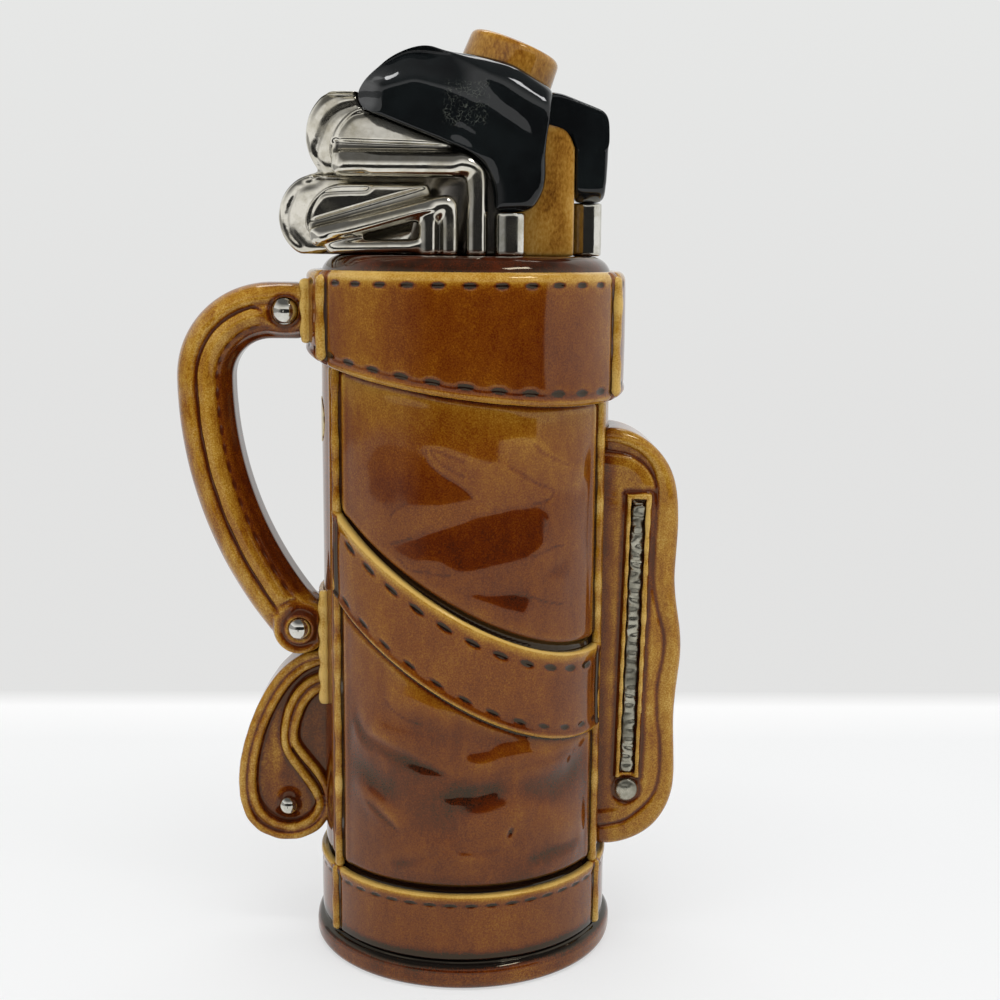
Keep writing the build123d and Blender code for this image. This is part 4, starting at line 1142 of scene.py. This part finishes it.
def handle_relief(co, normals):
    along, inward, face, from_rivet, from_lug, clear, groove, stitches, lug_side = handle_fields(co)
    lift = 0.6 * bump(inward - 3.3 * mm, 2.0 * mm) + 0.6 * bump(inward - 9.0 * mm, 1.5 * mm)
    lift -= 0.5 * bump(inward - 12.2 * mm, 0.9 * mm) + 0.9 * step(12 * mm, 15.5 * mm, inward)
    lift = lift * clear - 0.55 * groove - 0.15 * stitches
    lug_face = step(8.5 * mm, 9.8 * mm, depth_of(co)) * (from_lug < 9 * mm)
    lug_ring = 0.7 * bump(from_lug - 7.3 * mm, 0.9 * mm) * lug_side
    lift += (lug_ring - 0.9 * bump(from_lug - 5.2 * mm, 1.0 * mm)) * lug_face
    lift -= 0.8 * (1 - lug_side) * step(5 * mm, 6.5 * mm, from_lug) * lug_face
    lift -= 0.5 * bump(from_rivet - 4.4 * mm, 0.8 * mm) * face
    lift += 0.12 * np.sin(along / (2.1 * mm)) * bump(inward - 4 * mm, 5 * mm) * face
    return lift * mm


def handle_pool_and_shade(co):
    along, inward, face, from_rivet, from_lug, clear, groove, stitches, lug_side = handle_fields(co)
    # Darker in the groove, the stitches and the lug's hollow where glaze pools; painted shade on the strap's
    # edges towards the middle plane and where the strap meets the cuff
    pool_and_shade = 0.3 * groove + 0.3 * stitches + 0.12 * bump(inward - 12.2 * mm, 1.1 * mm) * clear
    pool_and_shade += 0.26 * step(11.8 * mm, 13.5 * mm, inward) * step(9 * mm, 12 * mm, from_lug)
    pool_and_shade += 0.2 * step(8 * mm, 3 * mm, depth_of(co)) + 0.4 * bump(from_rivet - 4.3 * mm, 0.8 * mm) * face
    lug_hollow = bump(from_lug - 5.0 * mm, 1.1 * mm) + 0.8 * (1 - lug_side) * step(9.5 * mm, 6 * mm, from_lug)
    pool_and_shade += 0.34 * lug_hollow * step(8 * mm, 9.6 * mm, depth_of(co))
    pool_and_shade += 0.4 * bump(radius_of(co) - cuff_radius, 1.6 * mm) * (co[:, 2] > bend_z)
    return pool_and_shade


def plate_relief(co, normals):
    front = bump(depth_of(co) - 10.8 * mm, 1.3 * mm)
    return (0.7 * front + 0.22 * np.sin(co[:, 2] / (1.05 * mm)) * front) * mm


def plate_pool_and_shade(co):
    # Darker back from the front roll towards the middle plane, pooled glaze with painted shade, and a little
    # lighter on the roll
    inside = step(9.5 * mm, 8 * mm, depth_of(co))
    return 0.2 * inside - 0.08 * bump(depth_of(co) - 11 * mm, 1 * mm)


# The hanging strap: two pipings side by side, round the outside and up again through the middle, the thin web
# inside them, and what fills the gap between them at the bottom

outer_ridge = in_mm([(-38, 86.4), (-44.8, 85.4), (-49.9, 82.5), (-54.4, 78), (-58.6, 71.2),
                     (-62.1, 62.8), (-64.6, 53.7), (-65.3, 46), (-64.5, 39), (-61.8, 33.4), (-56, 30.2),
                     (-50.7, 29.7), (-45.5, 31.2), (-41.2, 35), (-39.7, 39.8)])
inner_ridge = in_mm([(-39, 84.4), (-44.1, 83.0), (-48.2, 80.7), (-52.2, 76.7), (-56.2, 70.4),
                     (-59.6, 62.8), (-61.9, 54), (-62.6, 46), (-61.7, 39.8), (-58.6, 35), (-53, 32.5),
                     (-47.7, 33.1), (-43.6, 36.2), (-42.3, 39.8)])
leaf_left = in_mm([(-38, 79.8), (-43.3, 78), (-46.4, 76.2), (-49.4, 72.7), (-51.5, 68.2), (-52.6, 62.9),
                   (-52.8, 59), (-51.8, 55.2), (-48.9, 51), (-45.3, 46), (-43.1, 42.1), (-42.3, 39.4)])
leaf_right = in_mm([(-38, 77), (-42.6, 75.2), (-45.3, 73.1), (-47.3, 70.5), (-48.9, 66.7), (-49.9, 62.9),
                    (-50.1, 59.8), (-49, 56.7), (-46, 52.9), (-42.4, 48.3), (-40.2, 43.7),
                    (-39.7, 39.4)])
loop_web = in_mm([(-38, 85), (-44.8, 84.4), (-53, 78.5), (-59.5, 68), (-63, 56), (-64, 46), (-62.6, 38),
                  (-59.5, 33), (-55, 31), (-48, 31), (-38, 36)])
loop_fill = in_mm([(-64.2, 44), (-63.2, 38.5), (-60.2, 33.6), (-56, 31.2), (-51, 30.8), (-48, 31.8),
                   (-53, 32.6), (-58.4, 35), (-61.6, 40), (-62.4, 46)])
loop_rivet_place = (-51.8 * mm, 39.4 * mm)


def piping(points, radius, face):
    """A bead along a line, standing out of the middle plane on both sides up to a face."""
    curve = bpy.data.curves.new("piping", "CURVE")
    curve.dimensions = "3D"
    curve.bevel_depth = radius
    curve.bevel_resolution = 3
    curve.use_fill_caps = True
    spline = curve.splines.new("NURBS")
    spline.points.add(len(points) - 1)
    for point, (x, z) in zip(spline.points, points):
        point.co = (x, radius - face, z, 1)
    spline.order_u = 3
    spline.use_endpoint_u = True
    spline.resolution_u = 6
    holder = bpy.data.objects.new("piping", curve)
    bpy.context.scene.collection.objects.link(holder)
    bpy.context.view_layer.update()
    mesh = bpy.data.meshes.new_from_object(holder.evaluated_get(bpy.context.evaluated_depsgraph_get()))
    bpy.data.objects.remove(holder)
    bm = bmesh.new()
    bm.from_mesh(mesh)
    outward(bm)
    for vertex in bm.verts:
        if vertex.co.y > radius - face + 0.01 * mm:
            vertex.co.y = 0.4 * mm
    mirrored_copy(bm)
    return bm


def mirrored_copy(bm):
    """Adds the same shape on the other side of the middle plane."""
    copy = bmesh.ops.duplicate(bm, geom=bm.verts[:] + bm.edges[:] + bm.faces[:])["geom"]
    bmesh.ops.scale(bm, vec=(1, -1, 1), verts=only(BMVert, copy))
    bmesh.ops.reverse_faces(bm, faces=only(BMFace, copy))


def slab(outline, half_depth):
    """A flat plate with a given outline in the front plane."""
    bm = bmesh.new()
    face = bm.faces.new([bm.verts.new((x, -half_depth, z)) for x, z in outline])
    grown = bmesh.ops.extrude_face_region(bm, geom=[face])["geom"]
    bmesh.ops.translate(bm, vec=(0, 2 * half_depth, 0), verts=only(BMVert, grown))
    bmesh.ops.recalc_face_normals(bm, faces=bm.faces)
    return bm


def joined(parts):
    """One bmesh that holds all the parts."""
    bm = bmesh.new()
    for part in parts:
        mesh = bpy.data.meshes.new("part")
        part.to_mesh(mesh)
        part.free()
        bm.from_mesh(mesh)
    return bm


loop_lines = {name: smooth_line(points) for name, points in (
    ("outer", outer_ridge), ("inner", inner_ridge), ("left", leaf_left), ("right", leaf_right))}


def loop_relief(co, normals):
    face = step(4.5 * mm, 6 * mm, depth_of(co))
    lift = np.zeros(len(co))
    for line in loop_lines.values():
        gap, along = to_line(co[:, 0], co[:, 2], line)
        lift += 0.1 * np.sin(along / (0.9 * mm)) * bump(gap, 1 * mm)
    boss = bump(away_from(co, loop_rivet_place), 3.2 * mm)
    web = step(5.6 * mm, 4.6 * mm, depth_of(co))
    return (lift * face + 2.2 * boss * web) * mm


def loop_pool_and_shade(co):
    x, z, depth = co[:, 0], co[:, 2], depth_of(co)
    gaps = {name: to_line(x, z, line) for name, line in loop_lines.items()}
    pipe = np.min([line[0] for line in gaps.values()], axis=0)
    inside = step(1.0 * mm, 2.2 * mm, pipe)
    streaks = np.sin(x / (1.3 * mm) + 0.8 * np.sin(z / (6 * mm))) * np.sin(z / (9 * mm) + x / (4 * mm))
    # Glaze streaks, and darker towards the bag, painted shade
    hollow = 0.1 * streaks + 0.06 * np.sin(z / (4.7 * mm) - x / (5 * mm)) + 0.12 * step(-50 * mm, -44 * mm, x)
    pool_and_shade = (0.2 + hollow) * inside + 0.2 * bump(pipe - 1.7 * mm, 0.6 * mm) * (depth < 6.6 * mm)
    # Darker down the pipings' sides to the web: glaze pooled, with painted shade
    pool_and_shade += 0.12 * step(5.6 * mm, 3 * mm, depth) * (pipe < 1.6 * mm)
    stitches = stitch_row(gaps["inner"][1], gaps["inner"][0] - 1.9 * mm, *loop_stitches)
    stitches *= gaps["outer"][0] > 3.2 * mm
    between = sum(bump(gaps[one][0] - gaps[other][0], 0.5 * mm)
                  for one, other in (("outer", "inner"), ("left", "right")))
    pool_and_shade += 0.2 * np.clip(between, 0, 1) * (pipe < 1.8 * mm) + 0.22 * stitches
    pool_and_shade += 0.4 * bump(away_from(co, loop_rivet_place) - 2.9 * mm, 0.7 * mm)
    return np.clip(pool_and_shade, -0.1, 0.75)


# The side pocket: a bulging rim, a sunk line round its field, and the zip

field_line = smooth_line(in_mm([(38, 146.8), (41.5, 146.2), (45, 145.7), (48.6, 144.3), (51.9, 141.4),
                                (53.9, 137.5), (54.5, 132.5), (54.3, 125.3), (53.9, 115.1), (54, 109.3),
                                (54.5, 104.9), (55.8, 99), (57.2, 93.8), (57.4, 87.8), (56.6, 82.6),
                                (55.8, 76.6), (56, 69.1), (56.8, 63), (57.2, 56.9), (56.8, 49.2),
                                (54.7, 43.9), (51.1, 40), (46.8, 36.9), (40.9, 35.6), (36, 35)]))
zip_centre_x, zip_middle, zip_half, zip_half_width = 48.4 * mm, 92.4 * mm, 42 * mm, 3.5 * mm
zip_lean = tan(radians(1.2))
pull_place = (47.5 * mm, 46.7 * mm)


def pocket_gaps(co):
    """Distances to the field's line, to the zip's frame and round its pull, and the share on a face."""
    x, z = co[:, 0], co[:, 2]
    field = to_line(x, z, field_line)[0]
    beside = np.abs(x - zip_centre_x - zip_lean * (z - zip_middle)) - zip_half_width
    above = np.abs(z - zip_middle) - zip_half
    rails = np.hypot(np.maximum(beside, 0), np.maximum(above, 0)) + np.minimum(np.maximum(beside, above), 0)
    return field, rails, away_from(co, pull_place) - 3.4 * mm, step(8 * mm, 10 * mm, depth_of(co))


def zip_bar(x_low, x_high, z_low, z_high, face):
    """A bar on both faces of the pocket, leaning with the zip."""
    corners = ((x_low, z_low), (x_high, z_low), (x_high, z_high), (x_low, z_high))
    return slab([(zip_centre_x + x + zip_lean * (z - zip_middle), z) for x, z in corners], face)


def pocket_form():
    """What fills the pocket's field up to its rim, and the zip's frame on it."""
    root_x, field_face, frame_face, rail, top_rail = 36 * mm, 11.8 * mm, 13.2 * mm, 1.5 * mm, 2 * mm
    low, high, half = zip_middle - zip_half, zip_middle + zip_half, zip_half_width
    fill = [tuple(point) for point in field_line[::4]]
    parts = [slab([(root_x, fill[0][1])] + fill + [(root_x, fill[-1][1])], field_face)]
    for left, right, foot in ((-half, rail - half, low), (half - rail, half, low),
                              (-half, half, high - top_rail)):
        parts.append(zip_bar(left, right, foot, high, frame_face))
    return joined(parts)


def pocket_relief(co, normals):
    field, rails, pull, face = pocket_gaps(co)
    lift = -0.42 * bump(field, 0.6 * mm) + 0.35 * bump(field - 3.2 * mm, 1.9 * mm)
    lift -= 0.35 * bump(np.maximum(rails, 0) - 0.6 * mm, 0.9 * mm) * (rails > -0.2 * mm)
    lift -= 1.0 * step(-1.2 * mm, -1.9 * mm, rails) + 0.4 * bump(pull - 0.4 * mm, 0.7 * mm)
    lift += 0.12 * np.sin(co[:, 2] / (1.1 * mm)) * (rails < 0)
    lift += 0.15 * np.sin(co[:, 2] / (7 * mm) + 1) * bump(field - 4 * mm, 3 * mm)
    return lift * face * mm


def pocket_pool_and_shade(co):
    field, rails, pull, face = pocket_gaps(co)
    pool_and_shade = 0.22 * bump(field, 0.6 * mm) + 0.22 * bump(rails - 0.6 * mm, 0.8 * mm) * (rails > 0)
    pool_and_shade += 0.3 * bump(pull - 0.6 * mm, 0.7 * mm) + 0.5 * step(-1.2 * mm, -1.9 * mm, rails)
    # Painted shade, with pooled glaze, where the pocket meets the body, and darker on its sides towards the
    # middle plane
    pool_and_shade = pool_and_shade * face + 0.32 * bump(radius_of(co) - body_radius, 2.6 * mm)
    return pool_and_shade + 0.14 * step(9.5 * mm, 4 * mm, depth_of(co))


def teeth_relief(co, normals):
    """Teeth as the lustre fills them: fat and uneven towards the top, worn low towards the bottom."""
    z, side = co[:, 2], step(0.2, 0.8, np.abs(normals[:, 1]))
    wave = np.sin(z / (0.62 * mm) + 0.8 * np.sin(z / (5 * mm))) * np.sin(co[:, 0] / (0.9 * mm) + z / (3 * mm))
    return (0.45 + (0.14 + 0.16 * step(95 * mm, 125 * mm, z)) * wave) * side * mm


# The clubs

# Lines along the toes of the outer irons and of the hidden ones between them
iron_lip_lines = [smooth_line(in_mm(points)) for points in (
    [(-28, 240.3), (-31.9, 239.2), (-35.3, 235.6), (-37.2, 230.6), (-38.0, 224.3)],
    [(-27.9, 219.8), (-36.8, 219.4), (-40.3, 218.4), (-43, 215.2), (-44.6, 211), (-44.8, 205), (-42.9, 202)])]
hidden_lip_lines = [smooth_line(in_mm(points)) for points in (
    [(-30.6, 243.6), (-35.3, 242.2), (-38.6, 240), (-40.9, 237.3), (-42.6, 233.2), (-43.8, 229.1),
     (-44.3, 223)],
    [(-43, 222.3), (-48.1, 220.6), (-50.4, 216.7), (-51.9, 212.6), (-52, 208.5), (-51, 204.3),
     (-48.1, 201)])]
# Where the hosels bend: x, z and reach in mm
hosel_bends = [(4, 227, 4.5), (-3, 216, 3.5), (-9, 213, 3), (-37, 226, 3), (-43, 205, 3)]
# The bars along the irons' soles: x and z of both ends and half width in mm; and how far they lean back
sole_bars = [(-37.5, 226.3, -1, 225.3, 3.7), (-42.4, 206, -8.8, 216, 2.6), (-38.2, 203, -13, 204.2, 1.8)]
sole_lean = 0.24


def lip_relief(lines, lip, hollow):
    """A relief with a lip and a sunk line beside each line; both give height, distance and width in mm."""
    def relief(co, normals):
        lift = np.zeros(len(co))
        for line in lines:
            gap = to_line(co[:, 0], co[:, 2], line)[0]
            lift += (lip[0] * bump(gap - lip[1] * mm, lip[2] * mm)
                     - hollow[0] * bump(gap - hollow[1] * mm, hollow[2] * mm))
        return lift * step(0.3, 0.8, np.abs(normals[:, 1])) * mm
    return relief


def leaned(co, lean):
    """Moves points towards the middle plane from both sides."""
    co[:, 1] -= np.sign(co[:, 1]) * lean


def shape_irons(piece):
    """Rounds the hosels' bends, and leans the upper faces back over their soles, as a club's loft does."""
    for x, z, radius in hosel_bends:
        rounded_near(piece, (x * mm, z * mm), radius * mm, 120)
    co = points_of(piece.data)
    reach = step(9 * mm, 11 * mm, depth_of(co))
    for x0, z0, x1, z1, half in sole_bars:
        run = np.array([x1 - x0, z1 - z0]) * mm
        length = hypot(*run)
        x, z = co[:, 0] - x0 * mm, co[:, 2] - z0 * mm
        along, over = (x * run[0] + z * run[1]) / length, (z * run[0] - x * run[1]) / length
        share = step(half + 1.4, half, np.abs(over) / mm) * step(0, 3 * mm, along)
        share *= step(0, 3 * mm, length - along)
        leaned(co, sole_lean * over * share * reach)
    lean = 0.26 * np.maximum(co[:, 2] - 229.8 * mm, 0) * (co[:, 0] < 2 * mm)
    leaned(co, lean * step(9 * mm, 11 * mm, depth_of(co)))
    put_points(piece.data, co)
    measure_relief(piece)


def lean_back(piece):
    """Leans the hidden irons' faces a little, so that their lips catch the light."""
    co = points_of(piece.data)
    for base, top in ((222.5, 244), (201, 222)):
        rise = np.clip(co[:, 2] / mm - base, 0, top - base) * (co[:, 2] < top * mm)
        leaned(co, 0.16 * rise * mm * step(5 * mm, 8 * mm, depth_of(co)))
    put_points(piece.data, smoothed(co, edges_of(piece.data), 4))


def shape_fairway(piece):
    """Deepens the neck up to the head, and draws the head in behind the driver."""
    co = points_of(piece.data)
    low = step(239 * mm, 227 * mm, co[:, 2])
    co[:, 1] *= 1 + 1.5 * low * step(214.5 * mm, 218 * mm, co[:, 2])
    co[:, 0] -= 4 * mm * step(27 * mm, 20 * mm, co[:, 0]) * (1 - low)
    limit = (11.5 + 1.0 * step(236 * mm, 244 * mm, co[:, 2])) * mm
    co[:, 1] = np.clip(co[:, 1], -limit, limit)
    put_points(piece.data, smoothed(co, edges_of(piece.data), 12))
    measure_relief(piece)


# Lines of the drivers: the crown's upper edge, and the ridge and the valley of the neck's twist
crown_line = smooth_line(in_mm([(-29.9, 241.9), (-29.6, 245.8), (-28.5, 249.2), (-25.7, 251.4),
                                (-22.2, 253), (-18.2, 255.1), (-14.7, 256.1), (-10.6, 256), (-6, 255.2),
                                (-1.4, 254), (3.4, 252.2), (8.9, 250.2), (15.7, 247.9), (24, 244.6)]))
neck_facet = smooth_line(in_mm([(4, 240.5), (9, 237), (14.6, 232.7), (16.5, 227.6), (16, 220.3),
                                (14.8, 214.9)]))
neck_valley = smooth_line(in_mm([(-2, 233), (2.7, 229.7), (6.1, 223.1), (7.5, 217.3), (8, 212.9)]))


def shape_driver(piece):
    """Slopes the crown down to a ridge across the face, and twists the neck."""
    face_depth, inner_depth = 20.5 * mm, 9 * mm
    co = points_of(piece.data)
    side = np.sign(co[:, 1])
    x, z, depth = co[:, 0], co[:, 2], depth_of(co)
    below = to_line(x, z, crown_line)[0]
    ridge = (7.4 + 0.19 * np.clip(x / mm + 16.4, -4, 30)) * mm
    slope = 9.9 * mm - 9.7 * mm * step(-13 * mm, 8 * mm, x)
    target = face_depth - slope * (1 - np.clip(below / ridge, 0, 1))
    cut = np.minimum(depth, depth + (target - depth) * step(inner_depth, 11 * mm, depth))
    co[:, 1] = side * np.where(depth > inner_depth, cut, depth)
    co = smoothed(co, edges_of(piece.data), 5)
    depth = depth_of(co)
    facet, valley = [to_line(co[:, 0], co[:, 2], line)[0] for line in (neck_facet, neck_valley)]
    shift = (0.6 * bump(facet, 2.2 * mm) - 0.8 * bump(valley, 2.6 * mm)) * mm
    co[:, 1] += side * shift * step(12 * mm, 15 * mm, depth)
    bulge = bump(co[:, 2] - 219 * mm, 8 * mm) * step(12 * mm, 18 * mm, co[:, 0])
    co[:, 0] += 2.6 * mm * bulge
    co[:, 2] -= 1.5 * mm * step(241 * mm, 252 * mm, co[:, 2]) * step(4 * mm, -8 * mm, co[:, 0])
    under_cap = bump(co[:, 0] - 12 * mm, 10 * mm) * step(240 * mm, 249 * mm, co[:, 2])
    co[:, 2] += 2.4 * mm * under_cap * step(11.5 * mm, 14 * mm, depth)
    put_points(piece.data, smoothed(co, edges_of(piece.data), 4))
    rounded_near(piece, (13 * mm, 222 * mm), 9 * mm, 60)
    rounded_near(piece, (20 * mm, 245 * mm), 7 * mm, 30)
    measure_relief(piece)


neck_lean = radians(21)


def shape_cap(piece):
    """Rounds the cap's top and lets its wall draw in, as a thick glaze does."""
    co = points_of(piece.data)
    axis, mouth = np.array([sin(neck_lean), 0, cos(neck_lean)]), np.array([10.7, 0, 250.2]) * mm
    along = (co - mouth) @ axis
    out = co - mouth - along[:, None] * axis
    drawn_in = 0.955 - 0.02 * step(0, 9 * mm, along)[:, None]
    put_points(piece.data, mouth + out * drawn_in + (along * 0.83)[:, None] * axis)
    rim = bump(np.linalg.norm(out, axis=1) - 10.4 * mm, 0.6 * mm)
    store(piece, "pool_and_shade", 0.12 * rim * (along > 8 * mm))


# The castings, with the faces' grain and how often they are smoothed

as_trim, as_black, as_amber = ("trim_glaze", trim), ("black_glaze", black), ("amber_glaze", amber)
as_lustre, as_rivet, as_zip = [("platinum_lustre", film) for film in (lustre, rivet_lustre, zip_lustre)]

soften("handle_strap_skin", ["handle_strap"], *as_trim, voxel=0.4 * mm, rounds=8, relief=handle_relief,
       pool_and_shade=handle_pool_and_shade, near=(3, 14))
for place in ("upper", "lower"):
    soften(f"{place}_plate_skin", [f"{place}_handle_plate"], *as_trim, voxel=0.35 * mm, rounds=4,
           relief=plate_relief, pool_and_shade=plate_pool_and_shade)

loop_form = joined([piping(outer_ridge, 1.35 * mm, 7 * mm), piping(inner_ridge, 1.25 * mm, 7 * mm),
                    piping(leaf_left, 1.25 * mm, 6.6 * mm), piping(leaf_right, 1.25 * mm, 6.4 * mm),
                    slab(loop_web, 4 * mm), slab(loop_fill, 5.6 * mm)])
soften("strap_loop_skin", ["strap_loop"], *as_trim, voxel=0.38 * mm, rounds=5, relief=loop_relief,
       pool_and_shade=loop_pool_and_shade, extra=loop_form, near=(3, 14), from_cad=False)
soften("side_pocket_skin", ["side_pocket"], "leather_glaze", trim, voxel=0.42 * mm, rounds=5,
       relief=pocket_relief, pool_and_shade=pocket_pool_and_shade, extra=pocket_form(), near=(3, 14))

iron_relief = lip_relief(iron_lip_lines, (0.35, 0.9, 0.7), (0.4, 2.3, 0.6))
hidden_iron_relief = lip_relief(hidden_lip_lines, (0.3, 0.8, 0.7), (0.45, 3.1, 0.7))
for side in ("front", "back"):
    shape_driver(soften(f"{side}_driver_head", [f"{side}_driver"], *as_black, voxel=0.6 * mm, rounds=30))
    irons = [f"{side}_{kind}" for kind in ("upper_iron", "lower_iron", "wedge")]
    shape_irons(soften(f"{side}_iron_heads", irons, *as_lustre, voxel=0.42 * mm, rounds=14,
                       relief=iron_relief))
    soften(f"{side}_driver_collar", [f"{side}_driver_ferrule"], *as_rivet, voxel=0.4 * mm, rounds=6)
shape_fairway(soften("fairway_head", ["fairway_wood"], *as_black, voxel=0.55 * mm, rounds=16))
soften("fairway_collar", ["fairway_ferrule"], *as_rivet, voxel=0.4 * mm, rounds=6)
lean_back(soften("middle_iron_heads", ["middle_upper_iron", "middle_lower_iron"], *as_lustre, voxel=0.5 * mm,
                 rounds=14, relief=hidden_iron_relief))

soften("pour_neck_skin", ["pour_neck"], "amber_glaze", neck_skin, voxel=0.5 * mm, rounds=10)
shape_cap(soften("stopper_cap_skin", ["stopper_cap"], *as_amber, voxel=0.4 * mm, rounds=16, body="stopper"))

zip_stops = joined([zip_bar(-1.7 * mm, 1.7 * mm, 128 * mm, 131 * mm, 13.2 * mm),
                    zip_bar(-1.3 * mm, 1.3 * mm, 123 * mm, 125 * mm, 13.0 * mm)])
soften("zip_teeth_skin", ["zip_teeth"], *as_zip, voxel=0.28 * mm, rounds=20, relief=teeth_relief,
       extra=zip_stops, near=(3, 12))
pull_fill = zip_bar(-1.8 * mm, 1.2 * mm, pull_place[1] - 1.5 * mm, pull_place[1] + 1.5 * mm, 13.6 * mm)
soften("zip_pulls_skin", ["zip_pulls"], *as_zip, voxel=0.3 * mm, rounds=22, extra=pull_fill, near=(3, 12))

# The pieces that show as they are
plain_pieces = {"bag_deck": deck_skin, "handle_rivets": rivet_lustre, "lug_rivets": rivet_lustre,
                "loop_rivets": rivet_lustre, "stopper_cork": cork_skin, "foil_seal": foil_skin}
for node, material in plain_pieces.items():
    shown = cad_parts[node]
    shown.data.materials.clear()
    shown.data.materials.append(material)
